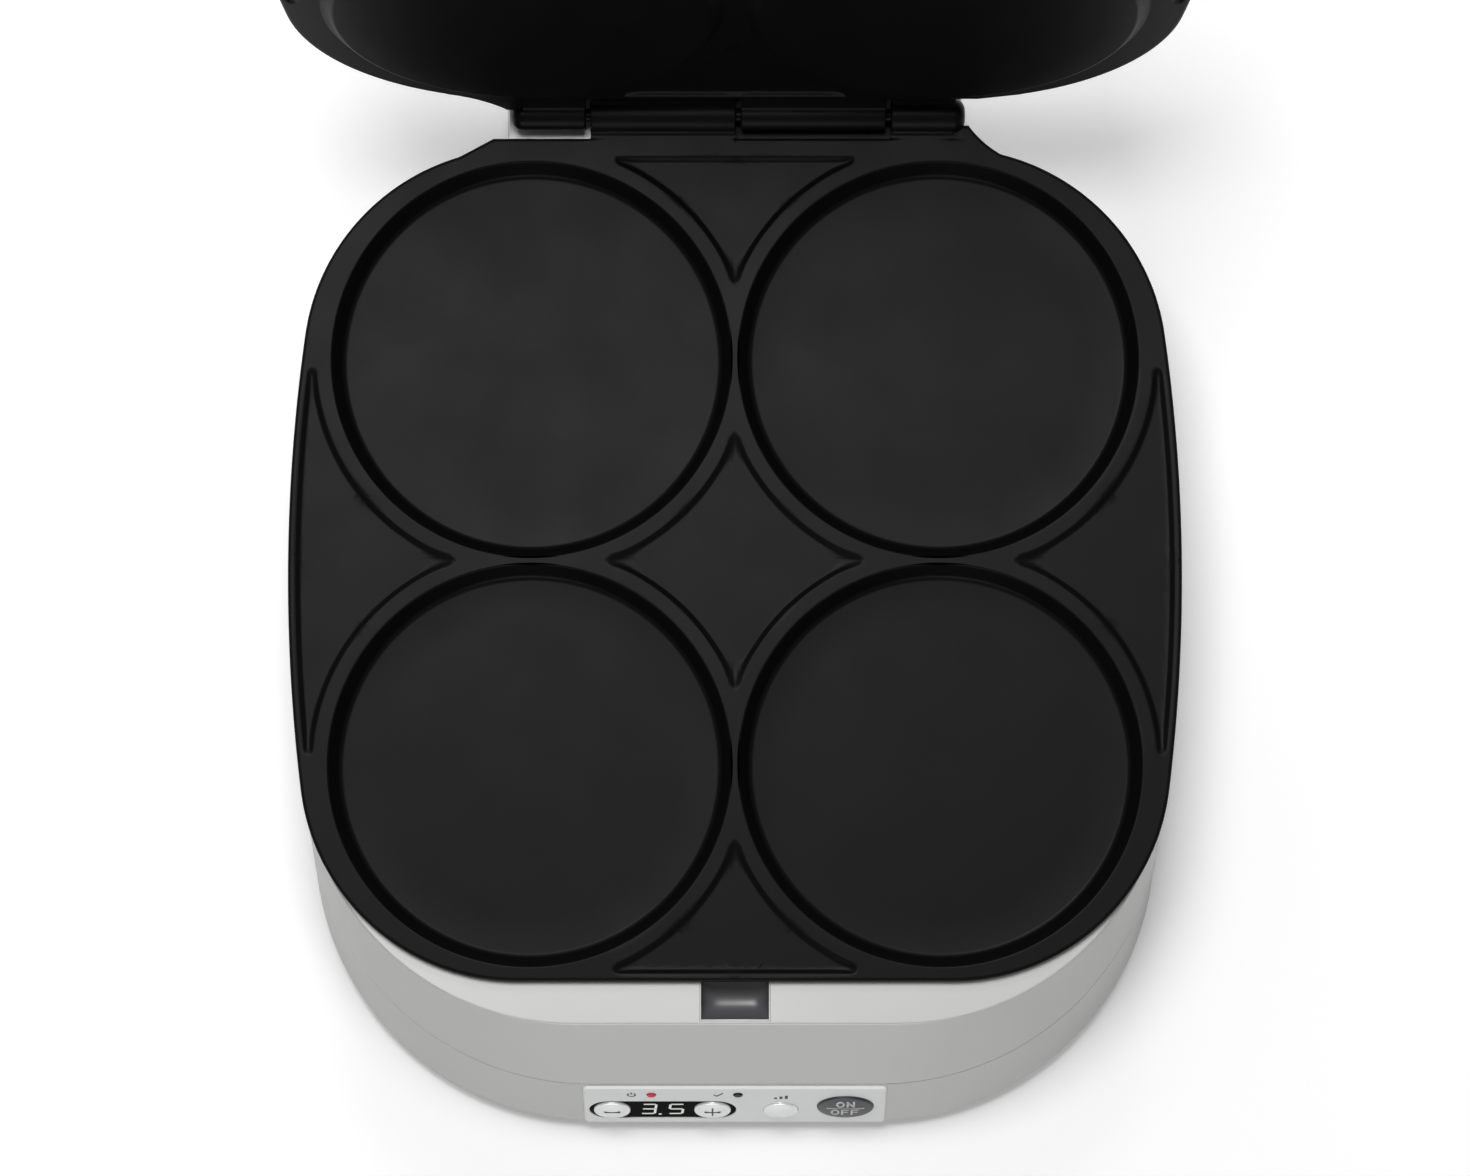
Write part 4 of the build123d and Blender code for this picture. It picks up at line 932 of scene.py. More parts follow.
        angles = angles[np.append(np.diff(angles) > self.same_ray, True)]
        if end > 0 and side > 0:
            away = self.notch() - middle
            notch = np.mod(atan2(away[1], away[0]), 2 * pi)
            angles = angles[np.abs(angles - notch) > 2 * self.notch_gap]
            angles = np.sort(np.concatenate([angles, [notch - self.notch_gap, notch + self.notch_gap]]))
        return angles

    def land_radii(self, ray: Array, first: float, last: Array, end: int, side: int) -> Array:
        """Distances of the land's rows along each ray, closer where its height changes.

        Along a ray the rows take equal shares of a running sum, which grows with the distance,
        faster with the slope and a little faster at its start; the sums of neighbouring rays
        are averaged.

        Args:
            ray: Directions of the rays.
            first: The first distance.
            last: The last distance of each ray.
            end: The end.
            side: The side.

        Returns:
            One row of distances for each step.
        """
        share = np.linspace(0, 1, self.samples)[:, None]
        radii = first + (last - first) * share
        x = self.well_middle + radii * ray[:, 0]
        y = end * self.well_middle + radii * ray[:, 1]
        step = np.diff(radii, axis=0)
        slope = np.abs(np.diff(self.land_height(x, y, side), axis=0)) / np.maximum(step, TINY)
        weight = self.flat_weight + self.slope_weight * np.minimum(slope, 1.0)
        weight = weight + self.start_weight * (share[1:] < self.start_share)
        for _ in range(self.passes):
            weight = (np.roll(weight, 1, axis=1) + weight + np.roll(weight, -1, axis=1)) / 3
        total = np.vstack([np.zeros(len(last)), np.cumsum(weight * step, axis=0)])
        total /= total[-1]
        wanted = np.linspace(0, 1, self.land_steps + 1)[1:]
        return np.stack([np.interp(wanted, total[:, i], radii[:, i]) for i in range(len(last))], -1)

    def cell(self, end: int, side: int) -> Surface:
        """Quarter of the plate about one well or pad, top and underside, drawn to the right.

        Rays leave the middle; each row is a fixed radius on the round form and a share of the
        way to the quarter's border on the land.

        Args:
            end: The end.
            side: The side.

        Returns:
            The quarter's surface.
        """
        middle = np.array([self.well_middle, end * self.well_middle])
        angles = self.ray_angles(end, side)
        out = ray_reach(self.outline.loop(), middle, angles)
        if end > 0:
            out = np.maximum(out, ray_reach(self.tab(side), middle, angles))
        ray = unit(angles)
        with np.errstate(divide="ignore"):
            to_side = np.where(ray[:, 0] < -TINY, -middle[0] / ray[:, 0], np.inf)
            to_end = np.where(ray[:, 1] * end < -TINY, -middle[1] / ray[:, 1], np.inf)
        border = np.minimum(to_side, to_end)
        open_edge = out <= border + NEAR
        reach = np.minimum(out, border)
        rows, n = self.round_rows(), len(angles)
        radii = np.vstack([
            np.repeat(rows[:, :1], n, axis=1),
            self.land_radii(ray, rows[-1, 0], reach - self.edge_start, end, side),
            reach - np.array(self.edge_rows)[:, None],
        ])
        x = middle[0] + radii * ray[:, 0]
        y = middle[1] + radii * ray[:, 1]
        x = np.where(np.abs(x) < NEAR, 0, x)
        y = np.where(np.abs(y) < NEAR, 0, y)
        land = self.land_height(x[len(rows):], y[len(rows):], side)
        top = np.stack([x, y, np.vstack([np.repeat(rows[:, 1:], n, axis=1), land])], -1)
        under = np.stack([reach, np.full(n, self.back_radius), np.full(n, self.back_radius)])[..., None]
        level = np.array([-self.flange, -self.flange, -self.back])[:, None, None]
        under = np.concatenate([middle + under * ray, np.broadcast_to(level, under.shape)], -1)
        centre = [[*middle, self.form.value * self.depth], [*middle, -self.back]]
        base = len(top) * n
        skirt = grid_faces(2, n, True, base - n)[open_edge & np.roll(open_edge, -1)]
        surface = Surface()
        surface.add(
            np.vstack([top.reshape(-1, 3), under.reshape(-1, 3), centre]),
            grid_faces(len(top), n, True)[:, ::-1], skirt[:, ::-1], grid_faces(3, n, True, base)[:, ::-1],
            fan_faces(base + 3 * n, np.arange(n)),
            fan_faces(base + 3 * n + 1, np.arange(n) + base + 2 * n)[:, ::-1],
        )
        return surface

    def knuckle(self, start: float, end: float, capped: bool) -> Surface:
        """One hinge barrel with its web, a closed profile carried along X with rounded ends.

        The profile runs from the tab's edge along a hollow fillet onto the barrel, round it and
        back under the web. Near each free end it draws in by a quarter circle.

        Args:
            start: The barrel's left end.
            end: Its right end.
            capped: Whether a cap closes its right end, which then stays square.

        Returns:
            The barrel's surface.
        """
        radius, rise, hollow = self.barrel_radius, self.hinge_rise, self.barrel_fillet
        # The fillet's centre lies hollow above the web and radius + hollow from the axis.
        above = hollow - rise
        centre = np.array([-sqrt((radius + hollow) ** 2 - above**2), above])
        turn = np.linspace(-pi / 2, atan2(-centre[1], -centre[0]), self.fillet_steps)
        fillet = centre + hollow * unit(turn)
        bottom = -self.flange - rise
        turn = np.linspace(
            atan2(centre[1], centre[0]), -pi + np.arcsin(-bottom / radius), self.barrel_steps
        )
        back = self.tab_edge - HINGE_BACK
        profile = np.vstack([fillet, (radius * unit(turn))[1:], (back, bottom), (back, -rise)])
        turn = np.linspace(0, pi / 2, self.arc_steps)
        drawn = self.barrel_round * (1 - np.cos(turn))
        slid = self.barrel_round * (1 - np.sin(turn))
        last, tail = drawn, slid
        if capped:
            last, tail = np.zeros(self.arc_steps), np.linspace(self.cap_land, 0.0, self.arc_steps)
        ends = np.concatenate([start + slid[::-1], end - tail])
        inset = np.concatenate([drawn[::-1], last])[:, None, None]
        away = np.maximum(np.linalg.norm(profile, axis=1, keepdims=True), radius)
        rings = profile * (1 - inset / away) + [HINGE_BACK, rise]
        across = np.broadcast_to(ends[:, None, None], (*rings.shape[:2], 1))
        middles = [[ends[0], HINGE_BACK, rise], [ends[-1], HINGE_BACK, rise]]
        return Surface().loft(np.concatenate([across, rings], -1), middles)

    def shelf_surface(self, start: float, end: float) -> Surface:
        """The low shelf under the other plate's barrel, with the wall that hangs it from the tab.

        Its section is an L on its back, carried along X.

        Args:
            start: The shelf's left end.
            end: Its right end.

        Returns:
            The shelf's surface.
        """
        high = self.hinge_rise - self.shelf_barrel - self.shelf_gap
        low = high - self.shelf_thickness
        root = self.tab_edge - self.shelf_wall
        # The wall runs a little into the flange's underside.
        sunk = -self.flange + self.shelf_sunk
        section = np.array([
            (root, low), (self.shelf_back, low), (self.shelf_back, high), (self.tab_edge, high),
            (self.tab_edge, sunk), (root, sunk),
        ])
        rings = [np.column_stack([np.full(len(section), across), section]) for across in (start, end)]
        return Surface().loft(np.array(rings))

    def surface(self) -> Surface:
        """The whole casting in its own frame: four quarters, the knuckles and the shelf.

        Returns:
            The surface.
        """
        whole = Surface()
        for end in (1, -1):
            whole.join(self.cell(end, 1))
            whole.join(self.cell(end, -1).mirrored())
        for number, (start, stop) in enumerate(self.spans):
            whole.join(self.knuckle(start, stop, number == 0))
        if self.shelf:
            whole.join(self.shelf_surface(*self.shelf))
        return whole

    def build(self, body: str) -> bpy.types.Object:
        """Makes the plate's object.

        Args:
            body: The body it rides on.

        Returns:
            The plate.
        """
        surface = self.surface().placed(self.place)
        piece = make_piece(f"{self.name}_casting", surface, PTFE_COATING.material(), self.smooth_angle)
        work = bmesh.new()
        work.from_mesh(piece.data)
        bmesh.ops.recalc_face_normals(work, faces=work.faces)
        work.to_mesh(piece.data)
        work.free()
        return settle(piece, body, self.name)


# The control panel's signs and caps

def bars(place: tuple[float, float], rows: Sequence[tuple[float, ...]]) -> list[Array]:
    """Rings of straight strokes.

    Args:
        place: The point that they are drawn about.
        rows: For each stroke x and y of its start, x and y of its end, and its width.

    Returns:
        Four corners a stroke, counter-clockwise.
    """
    rings = []
    for x0, y0, x1, y1, width in rows:
        first, last = np.array([x0, y0]) + place, np.array([x1, y1]) + place
        along = direction(last - first)
        across = np.array([-along[1], along[0]]) * width / 2
        rings.append(np.array([first - across, last - across, last + across, first + across]))
    return rings


def hoop(
    centre: tuple[float, float], half: tuple[float, float], width: float,
    span: tuple[float, float] = (0.0, 360.0), steps: int = 24,
) -> list[Array]:
    """Short strokes along an ellipse.

    Args:
        centre: The ellipse's middle.
        half: Its half width and half height at the stroke's middle.
        width: The stroke's width.
        span: First and last angle in degrees.
        steps: Number of strokes.

    Returns:
        One ring a step.
    """
    turn = unit(np.radians(np.linspace(*span, steps + 1)))
    inner, outer = (centre + (np.array(half) + grown) * turn for grown in (-width / 2, width / 2))
    return list(np.stack([inner[:-1], outer[:-1], outer[1:], inner[1:]], 1))


# Strokes of the signs about their places: x and y of the start, x and y of the end, width
MINUS = ((-3.0, 0.0, 3.0, 0.0, 0.8),)
PLUS = (*MINUS, (0.0, -3.0, 0.0, 3.0, 0.6))
POWER_STEM = ((0.0, 0.3, 0.0, 1.9, 0.6),)
TICK = ((-1.6, 0.0, -0.5, -1.2, 0.65), (-0.6, -1.3, 1.8, 1.4, 0.65))
RISING_BARS = ((-2.0, -1.2, -2.0, 0.1, 1.1), (0.0, -1.2, 0.0, 0.9, 1.1), (2.0, -1.2, 2.0, 1.7, 1.1))
LETTER_N = ((0.8, 1.1, 0.8, 5.5, 0.75), (3.1, 1.1, 3.1, 5.5, 0.75), (0.7, 5.2, 3.2, 1.4, 0.75))
LETTERS_F = tuple(
    (left, low, left + across, high, width)
    for left in (-1.2, 2.4)
    for low, across, high, width in ((-5.5, 0.0, -1.1, 0.75), (-1.4, 2.5, -1.4, 0.7), (-3.3, 2.1, -3.3, 0.7))
)
DIVIDER = ((-7.0, 0.0, 7.0, 0.0, 0.3),)
DECIMAL_POINT = ((3.6, -4.7, 4.7, -4.7, 1.1),)


@dataclass
class Sign:
    """A printed or lit sign: flat shapes that stand a little over the face that carries them."""

    name: str
    body: str
    slot: str
    finish: Finish
    level: float
    rings: list[Array]
    rise: float = 0.05
    root: float = 0.45

    def build(self, place: Place) -> bpy.types.Object:
        """Makes the sign's object.

        Args:
            place: The panel's frame.

        Returns:
            The sign.
        """
        surface = Surface()
        for ring in self.rings:
            heights = (self.level - self.root, self.level + self.rise)
            rings = [np.column_stack([ring, np.full(len(ring), height)]) for height in heights]
            surface.loft(np.array(rings))
        piece = make_piece(self.name, surface.placed(place), self.finish.material())
        return settle(piece, self.body)


@dataclass
class PushCap:
    """One push button's cap as it shows: a low dome with a rounded edge and a straight skirt."""

    node: str
    slot: str
    finish: Finish
    crown: float = 0.9
    edge: float = 1.1
    skirt: float = 3.0
    steps: int = 72
    crown_steps: int = 11
    edge_steps: int = 6
    face_depth: float = 0.02
    smooth_angle: float = 50.0

    def surface(self, points: Array) -> Surface:
        """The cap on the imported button's plan, closed underneath.

        Its top falls with the square of the distance from the middle, its edge by a quarter
        circle, and its skirt runs straight down.

        Args:
            points: The button's points in the panel's frame.

        Returns:
            The cap's surface.
        """
        high = points[:, 2].max()
        face = points[points[:, 2] > high - self.face_depth]
        low_corner, high_corner = face.min(axis=0), face.max(axis=0)
        middle = (low_corner + high_corner) / 2
        flat = (high_corner - low_corner) / 2
        share = np.linspace(0, 1, self.crown_steps + 1)[1:]
        turn = np.linspace(0, pi / 2, self.edge_steps + 1)[1:]
        spread = np.concatenate([np.zeros(self.crown_steps), self.edge * np.sin(turn), [self.edge]])
        scale = np.concatenate([share, np.ones(self.edge_steps + 1)])
        fall = self.edge * (1 - self.crown / 2) * (1 - np.cos(turn))
        drop = np.concatenate([self.crown * share**2, self.crown + fall, [self.skirt]])
        plan = unit(np.linspace(0, 2 * pi, self.steps, endpoint=False))
        plan = middle[:2] + (scale[:, None, None] * flat[:2] + spread[:, None, None]) * plan
        top = high + self.crown / 2
        z = np.broadcast_to((top - drop)[:, None, None], (*plan.shape[:2], 1))
        middles = [[*middle[:2], top], [*middle[:2], top - self.skirt]]
        return Surface().loft(np.concatenate([plan, z], -1), middles, True)

    def build(self, packed: Packed, place: Place) -> bpy.types.Object:
        """Makes the cap's object, which rides on its own button's body.

        Args:
            packed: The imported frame.
            place: The panel's frame.

        Returns:
            The cap.
        """
        surface = self.surface((packed.points(self.node) - place.origin) @ place.axes)
        material = self.finish.material()
        piece = make_piece(f"{self.node}_cap", surface.placed(place), material, self.smooth_angle)
        return settle(piece, self.node, self.node)


@dataclass
class ControlPanel:
    """The slanted panel: what is printed or lit on it, in its own plane, and its four caps."""

    packed: Packed
    lean: float = 0.09
    digit_half_width: float = 2.5
    digit_half_height: float = 4.2
    digit_gap: float = 0.25
    digit_stroke: float = 0.92
    digit_places: tuple[tuple[float, float], ...] = ((-32.2, -3.7), (-21.9, -3.7))
    minus_place: tuple[float, float] = (-45.9, -2.9)
    plus_place: tuple[float, float] = (-8.4, -2.9)
    start_place: tuple[float, float] = (41.2, 0.4)
    power_place: tuple[float, float] = (-38.5, 9.8)
    ready_place: tuple[float, float] = (-6.3, 9.8)
    extra_place: tuple[float, float] = (17.1, 7.3)
    letter_half: tuple[float, float] = (1.25, 1.9)
    letter_stroke: float = 0.75
    upper_o: tuple[float, float] = (-1.9, 3.3)
    lower_o: tuple[float, float] = (-3.8, -3.3)
    power_half: tuple[float, float] = (1.4, 1.4)
    power_stroke: float = 0.6
    power_span: tuple[float, float] = (125.0, 415.0)
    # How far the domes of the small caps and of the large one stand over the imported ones
    cap_rise: float = 0.4
    start_rise: float = 0.22

    def __post_init__(self) -> None:
        """Finds the panel's outward direction, against the buttons' press."""
        self.out = -np.array(self.packed.joint("minus_button_press")["axis"], dtype=float)

    def place(self) -> Place:
        """Frame on the panel's middle, x to the right, y up the slope and z outwards.

        Returns:
            The place.
        """
        up = np.array([0.0, self.out[2], -self.out[1]])
        axes = np.stack([np.array([1.0, 0.0, 0.0]), up, self.out], -1)
        points = self.packed.points("control_panel") @ axes
        middle = (points.min(axis=0) + points.max(axis=0)) / 2
        return Place(axes @ np.array([middle[0], middle[1], 0.0]), axes)

    def level(self, node: str) -> float:
        """Distance of a node's outermost point along the panel's normal."""
        return float((self.packed.points(node) @ self.out).max())

    def digit(self, lit: str, place: tuple[float, float]) -> list[Array]:
        """Strokes of one leaning seven-segment digit.

        Args:
            lit: Letters of its lit segments.
            place: Its middle.

        Returns:
            The strokes' rings.
        """
        w, h, gap = self.digit_half_width, self.digit_half_height, self.digit_gap
        ends = {
            "a": (gap - w, h, w - gap, h), "g": (gap - w, 0.0, w - gap, 0.0), "d": (gap - w, -h, w - gap, -h),
            "b": (w, gap, w, h - gap), "c": (w, gap - h, w, -gap), "f": (-w, gap, -w, h - gap),
        }
        rows = []
        for x0, y0, x1, y1 in (ends[segment] for segment in lit):
            rows.append((x0 + self.lean * y0, y0, x1 + self.lean * y1, y1, self.digit_stroke))
        return bars(place, rows)

    def signs(self) -> list[Sign]:
        """All signs.

        Returns:
            The signs in the order in which they are made.
        """
        three, five = self.digit_places
        digits = self.digit("abgcd", three) + self.digit("afgcd", five) + bars(three, DECIMAL_POINT)
        x, y = self.start_place
        letters = []
        for (across, up), rows in ((self.upper_o, LETTER_N), (self.lower_o, LETTERS_F + DIVIDER)):
            letters += hoop((x + across, y + up), self.letter_half, self.letter_stroke) + bars((x, y), rows)
        printed = hoop(self.power_place, self.power_half, self.power_stroke, self.power_span)
        printed += bars(self.power_place, POWER_STEM) + bars(self.ready_place, TICK)
        printed += bars(self.extra_place, RISING_BARS)
        small = {name: self.level(name) + self.cap_rise for name in ("minus_button", "plus_button")}
        start_level = self.level("start_button") + self.start_rise
        return [
            Sign("lit_digits", "base", "component_white", LIT_DIGIT, self.level("display_window"), digits),
            Sign("minus_sign", "minus_button", "button_grey", DARK_INK, small["minus_button"],
                 bars(self.minus_place, MINUS)),
            Sign("plus_sign", "plus_button", "button_grey", DARK_INK, small["plus_button"],
                 bars(self.plus_place, PLUS)),
            Sign("start_letters", "start_button", "component_white", PALE_INK, start_level, letters),
            Sign("panel_signs", "base", "button_grey", DARK_INK, self.level("control_panel"), printed),
        ]

    def build(self) -> list[bpy.types.Object]:
        """Makes every sign and every cap.

        Returns:
            The signs and the caps.
        """
        place = self.place()
        silver = ("minus_button", "plus_button", "extra_button")
        caps = [PushCap(node, "button_silver", BUTTON_ABS) for node in silver]
        caps.append(PushCap("start_button", "button_grey", START_ABS, crown=0.5))
        return [sign.build(place) for sign in self.signs()] + [cap.build(self.packed, place) for cap in caps]


# The finger recess

@dataclass
class FingerRecess:
    """Scoop in the ledge, a lying half cylinder with rounded ends, and the lip round it."""

    place: Place
    half_width: float = 12.3
    back: float = -152.6
    front: float = -167.6
    depth: float = 6.6
    across_powers: tuple[float, float] = (5.0, 0.4)
    along_powers: tuple[float, float] = (2.2, 0.6)
    lip_half: float = 0.35
    lip_flatness: float = 0.6
    lip_steps: int = 9
    wall: float = 0.8
    steps: int = 48
    smooth_angle: float = 60.0

    def surface(self) -> Surface:
        """The scoop's inside and its outside a wall lower.

        The depth is the product of two rounded steps, each a superellipse: nearly square
        across the width, nearly a half circle from front to back.

        Returns:
            The closed surface.
        """
        bent = np.sin(np.linspace(-1, 1, self.steps) * pi / 2)
        wide, deep = self.across_powers, self.along_powers
        across = np.clip(1 - np.abs(bent[None, :]) ** wide[0], 0, 1) ** wide[1]
        hollow = (1 - np.abs(bent[:, None]) ** deep[0]) ** deep[1]
        z = -self.depth * across * hollow
        x = np.broadcast_to(bent[None, :] * self.half_width, z.shape)
        y = np.broadcast_to(self.front + (self.back - self.front) * (bent[:, None] + 1) / 2, z.shape)
        inside = np.stack([x, y, z], -1).reshape(-1, 3)
        outside = inside - [0.0, 0.0, self.wall]
        n = self.steps
        upper = grid_faces(n, n)
        place = np.arange(n * n).reshape(n, n)
        border = np.concatenate([place[0], place[1:, -1], place[-1, -2::-1], place[-2:0:-1, 0]])
        after = np.roll(border, -1)
        sides = np.stack([border, border + n * n, after + n * n, after], -1)
        closed = Surface()
        closed.add(np.vstack([inside, outside]), upper, upper[:, ::-1] + n * n, sides[:, ::-1])
        return closed

    def lip(self) -> Surface:
        """The ledge's raised edge round the scoop: a low half round carried along three sides.

        Returns:
            The closed surface.
        """
        turn = np.linspace(0, pi, self.lip_steps)
        across = self.lip_half * (np.cos(turn) - 1)
        over = self.lip_half * np.sin(turn) * self.lip_flatness
        wide = self.half_width
        path = np.array([(-wide, self.back), (-wide, self.front), (wide, self.front), (wide, self.back)])
        outward = np.array([(-1.0, 0.0), (-1.0, -1.0), (1.0, -1.0), (1.0, 0.0)])
        plan = path[:, None, :] - outward[:, None, :] * across[None, :, None]
        z = np.broadcast_to(over[None, :, None], (*plan.shape[:2], 1))
        return Surface().loft(np.concatenate([plan, z], -1), turned=True)

    def build(self) -> list[bpy.types.Object]:
        """Makes the lip's object and the scoop's.

        Returns:
            The two objects.
        """
        lacquer, nylon, angle = SILVER_LACQUER.material(), MOULDED_NYLON.material(), self.smooth_angle
        lip = make_piece("finger_recess_lip", self.lip().placed(self.place), lacquer, angle)
        scoop = make_piece("finger_scoop", self.surface().placed(self.place), nylon, angle)
        settle(lip, "base")
        settle(scoop, "base", "finger_recess")
        return [lip, scoop]


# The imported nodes

# Outer nodes that a merged copy stands for
SKINS = {
    "base_upper_shell": SILVER_LACQUER, "base_lower_shell": SILVER_LACQUER, "lid_frame": SILVER_LACQUER,
    "lid_cover": SILVER_LACQUER, "control_panel": PANEL_ABS, "display_window": SMOKED_ACRYLIC,
    "power_lamp": RED_LENS, "ready_lamp": DARK_LENS, "rubber_feet": SOFT_RUBBER, "cord_gland": MOULDED_NYLON,
    "hinge_pin": BLACKED_STEEL, "base_pin_cap": BLACKED_STEEL, "lid_pin_cap": BLACKED_STEEL,
}
# Inner nodes that keep their mesh; those that aren't named here are steel
INNER = {
    "lower_heating_element": ELEMENT_SHEATH, "upper_heating_element": ELEMENT_SHEATH,
    "lower_reflector": SHEET_ALUMINIUM, "upper_reflector": SHEET_ALUMINIUM, "lower_thermal_fuse": WHITE_NYLON,
    "upper_thermal_fuse": WHITE_NYLON, "terminal_block": WHITE_NYLON, "control_board": SOLDER_MASK,
    "power_board": SOLDER_MASK, "tact_switches": DARK_EPOXY, "display_module": DARK_EPOXY,
    "relay": DARK_EPOXY, "transformer": DARK_EPOXY,
}
# Nodes that a surface of its own stands for
REBUILT = (
    "lower_cooking_plate", "upper_cooking_plate", "finger_recess", "minus_button", "plus_button",
    "extra_button", "start_button",
)
# Degrees past which an edge of a copy stays sharp
SKIN_ANGLE = 30.0


def dress_nodes(packed: Packed) -> list[bpy.types.Object]:
    """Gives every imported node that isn't built anew its finish.

    A copy that stands for a node has its double points merged and its normals evened.

    Args:
        packed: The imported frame.

    Returns:
        The copies and the nodes that keep their mesh.
    """
    bodies = {node: body for body, nodes in packed.record["behaviour"]["bodies"].items() for node in nodes}
    pieces = []
    for node, piece in packed.nodes.items():
        if node in REBUILT:
            continue
        if node in SKINS:
            skin = make_piece(f"{node}_skin", piece.data.copy(), SKINS[node].material(), SKIN_ANGLE)
            skin.data.name = skin.name
            skin.modifiers.new("even_normals", "WEIGHTED_NORMAL").keep_sharp = True
            pieces.append(settle(skin, bodies[node], node))
            continue
        for place in piece.material_slots:
            place.material = INNER.get(node, TURNED_STEEL).material()
        pieces.append(piece)
    return pieces


# The studio

WHITE = (1.0, 1.0, 1.0, 1.0)


@dataclass(frozen=True)
class Softbox:
    """One square soft lamp: watts, its side, where it hangs and the point that it faces."""

    name: str
    power: float
    size: float
    place: tuple[float, float, float]
    aim: tuple[float, float, float]

    def build(self) -> None:
        """Hangs the lamp, which looks down its own z and is turned about x and then z."""
        data = bpy.data.lights.new(self.name, "AREA")
        data.energy = self.power
        data.size = self.size * MM
        lamp = add_object(self.name, data)
        along = np.array(self.aim) - np.array(self.place)
        lamp.location = tuple(c * MM for c in self.place)
        tilt = atan2(hypot(along[0], along[1]), -along[2])
        lamp.rotation_euler = (tilt, 0.0, atan2(along[1], along[0]) - pi / 2)


LAMPS = (
    Softbox("overhead_softbox", 33.0, 900.0, (-200.0, 600.0, 2250.0), (0.0, -30.0, 60.0)),
    Softbox("rear_softbox", 15.0, 900.0, (-100.0, 1700.0, 1500.0), (0.0, 0.0, 100.0)),
    Softbox("front_fill", 8.0, 800.0, (-100.0, -1800.0, 380.0), (0.0, -150.0, 60.0)),
)


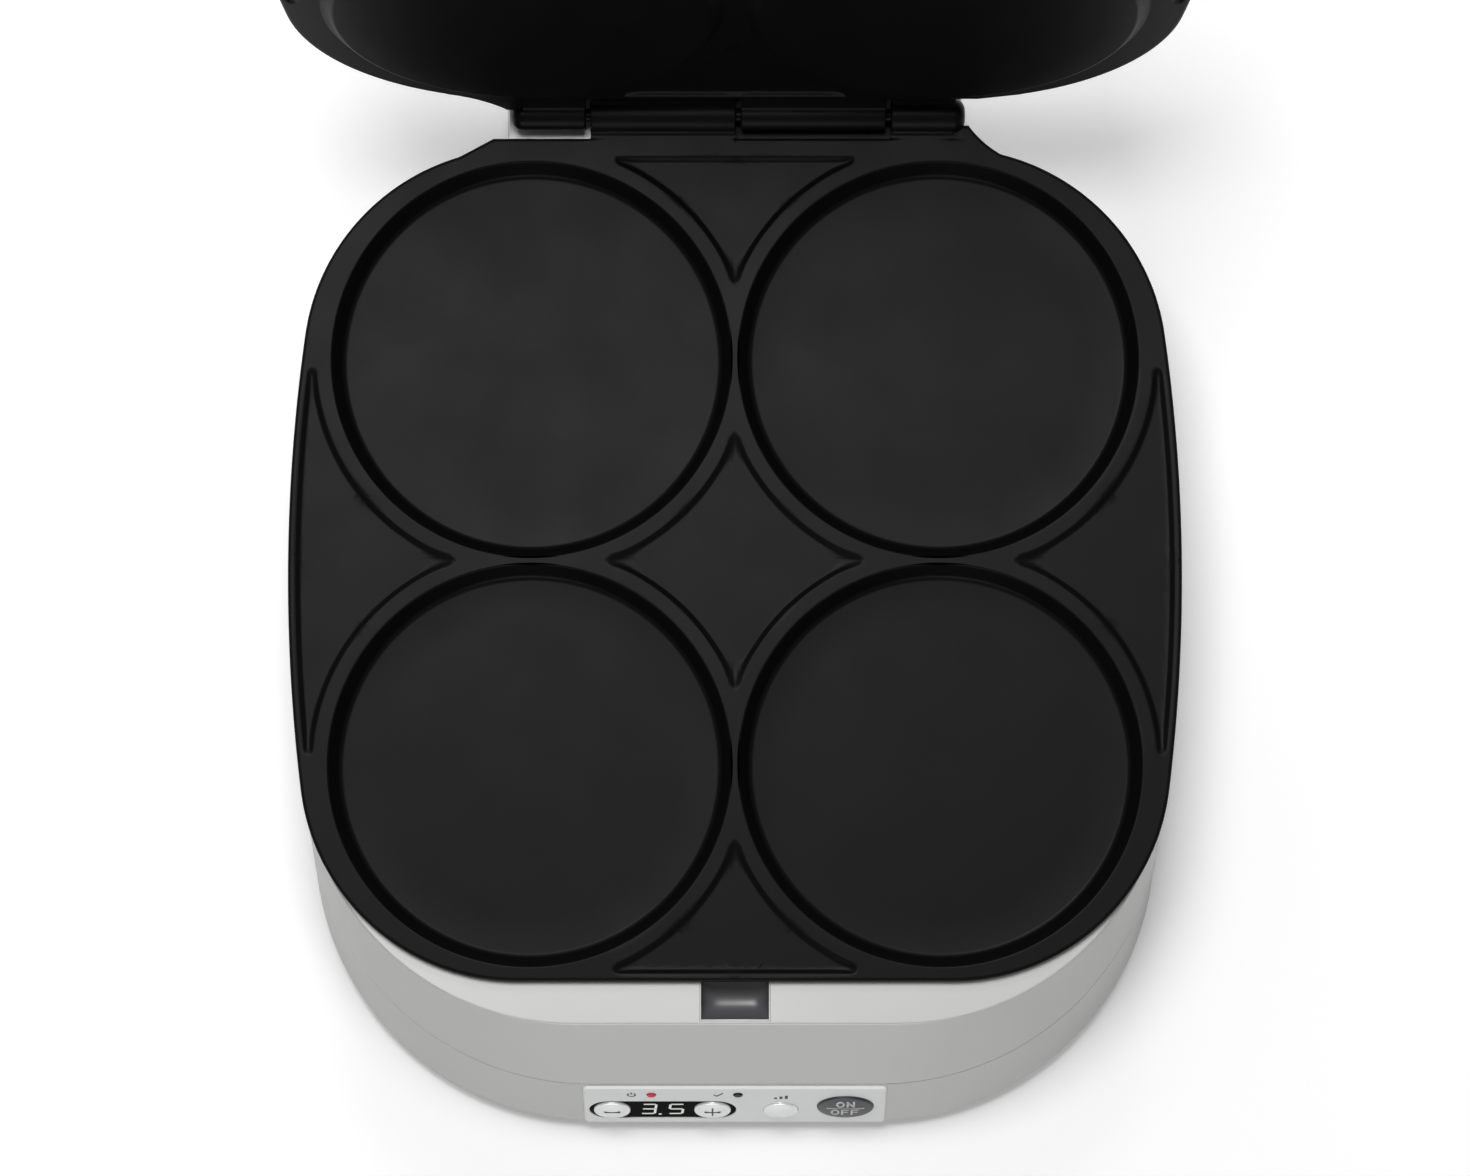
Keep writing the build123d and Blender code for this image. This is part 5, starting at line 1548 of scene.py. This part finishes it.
@dataclass
class Studio:
    """Pale floor, soft lamps, plain world and the camera over the appliance.

    The floor's glow grows from floor_glow to far_glow between glow_from and glow_to metres
    from the middle.
    """

    setback: float
    camera_height: float = 1764.06
    camera_front: float = 213.63
    camera_tilt: float = 6.578
    lens: float = 118.68
    sensor: float = 36.0
    floor_half: float = 6000.0
    floor_colour: str = "9A9A9A"
    floor_glow: float = 0.16
    far_glow: float = 0.75
    glow_from: float = 0.5
    glow_to: float = 3.0
    surround: float = 0.18

    def camera(self) -> None:
        """Makes the camera, nearly upright over the front of the plates."""
        data = bpy.data.cameras.new("over_the_plates")
        data.lens = self.lens
        data.sensor_fit = "HORIZONTAL"
        data.sensor_width = self.sensor
        camera = add_object("over_the_plates", data)
        height = PLATE_TOP + self.camera_height
        camera.location = (0.0, (-self.camera_front - self.setback) * MM, height * MM)
        camera.rotation_euler = (radians(self.camera_tilt), 0.0, 0.0)
        bpy.context.scene.camera = camera

    def floor_material(self) -> bpy.types.Material:
        """Makes the floor's material: white and glowing where it is seen, grey to bounced light.

        Returns:
            The material.
        """
        material = bpy.data.materials.new("white_studio_floor")
        tree = empty_tree(material)
        path = add_node(tree, "ShaderNodeLightPath").outputs
        seen = path["Is Camera Ray"]
        for other in ("Is Glossy Ray", "Is Transmission Ray"):
            either = add_node(tree, "ShaderNodeMath", {"operation": "MAXIMUM"}, i0=seen, i1=path[other])
            seen = either.outputs["Value"]
        plain = add_node(tree, "ShaderNodeBsdfDiffuse", Color=linear(self.floor_colour))
        white = add_node(tree, "ShaderNodeBsdfDiffuse", Color=WHITE)
        place = add_node(tree, "ShaderNodeTexCoord").outputs["Object"]
        away = add_node(tree, "ShaderNodeVectorMath", {"operation": "LENGTH"}, i0=place)
        strength = add_node(
            tree, "ShaderNodeMapRange", Value=away.outputs["Value"], From_Min=self.glow_from,
            From_Max=self.glow_to, To_Min=self.floor_glow, To_Max=self.far_glow,
        )
        glow = add_node(tree, "ShaderNodeEmission", Color=WHITE, Strength=strength.outputs["Result"])
        bright = add_node(tree, "ShaderNodeAddShader", i0=white.outputs["BSDF"], i1=glow.outputs["Emission"])
        mixed = add_node(
            tree, "ShaderNodeMixShader", i0=seen, i1=plain.outputs["BSDF"], i2=bright.outputs["Shader"]
        )
        add_node(tree, "ShaderNodeOutputMaterial", Surface=mixed.outputs["Shader"])
        return material

    def floor(self) -> None:
        """Makes the floor, a plain square."""
        mesh = bpy.data.meshes.new("studio_floor")
        half = self.floor_half * MM
        corners = [(-half, -half, 0), (half, -half, 0), (half, half, 0), (-half, half, 0)]
        mesh.from_pydata(corners, [], [(0, 1, 2, 3)])
        mesh.materials.append(self.floor_material())
        floor = add_object("studio_floor", mesh)

    def world(self) -> None:
        """Sets an even pale surround that fills the shadows."""
        world = bpy.data.worlds.new("even_surround")
        tree = empty_tree(world)
        surround = add_node(tree, "ShaderNodeBackground", Color=WHITE, Strength=self.surround)
        add_node(tree, "ShaderNodeOutputWorld", Surface=surround.outputs["Background"])
        bpy.context.scene.world = world

    def build(self) -> None:
        """Sets up the camera, floor, surround, lamps and colour view."""
        self.camera()
        self.floor()
        self.world()
        for lamp in LAMPS:
            lamp.build()
        bpy.context.scene.view_settings.view_transform = "Standard"


def main() -> None:
    """Loads the frame, builds each sub-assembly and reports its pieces."""
    logging.basicConfig(level=logging.INFO, format="%(message)s")
    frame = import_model()
    packed = Packed(frame["nodes"], frame["joints"], frame["record"])
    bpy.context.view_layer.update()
    joint = packed.joint("lid_hinge")
    hinge = Hinge(joint["pos_m"][1] / MM, joint["pos_m"][2] / MM, radians(joint["range_deg"][1]))
    lower = CookingPlate(
        "lower_cooking_plate", hinge.base_place(PLATE_TOP), Form.WELL, ((57.7, 80.7), (-53.5, 0.3)),
        hinge_rise=hinge.rise, shelf=(-2.7, 60.7),
    )
    upper = CookingPlate(
        "upper_cooking_plate", hinge.lid_place(), Form.PAD, ((55.3, 78.3), (-55.9, -2.1)),
        hinge_rise=PLATE_GAP - hinge.rise, rim_radius=71.0, inner_radius=67.0, depth=4.0, inner_round=1.5,
        rim_round=1.2, back_radius=70.0, back=7.0, rear=152.5, tab_edge=152.5, barrel_radius=5.4,
    )
    pieces = [lower.build("base"), upper.build("lid")]
    pieces += dress_nodes(packed)
    pieces += ControlPanel(packed).build()
    pieces += FingerRecess(hinge.base_place(LEDGE_TOP)).build()
    Studio(hinge.setback).build()
    for piece in pieces:
        log.info("%s: %d faces", piece.name, len(piece.data.polygons))


if __name__ == "__main__":
    main()
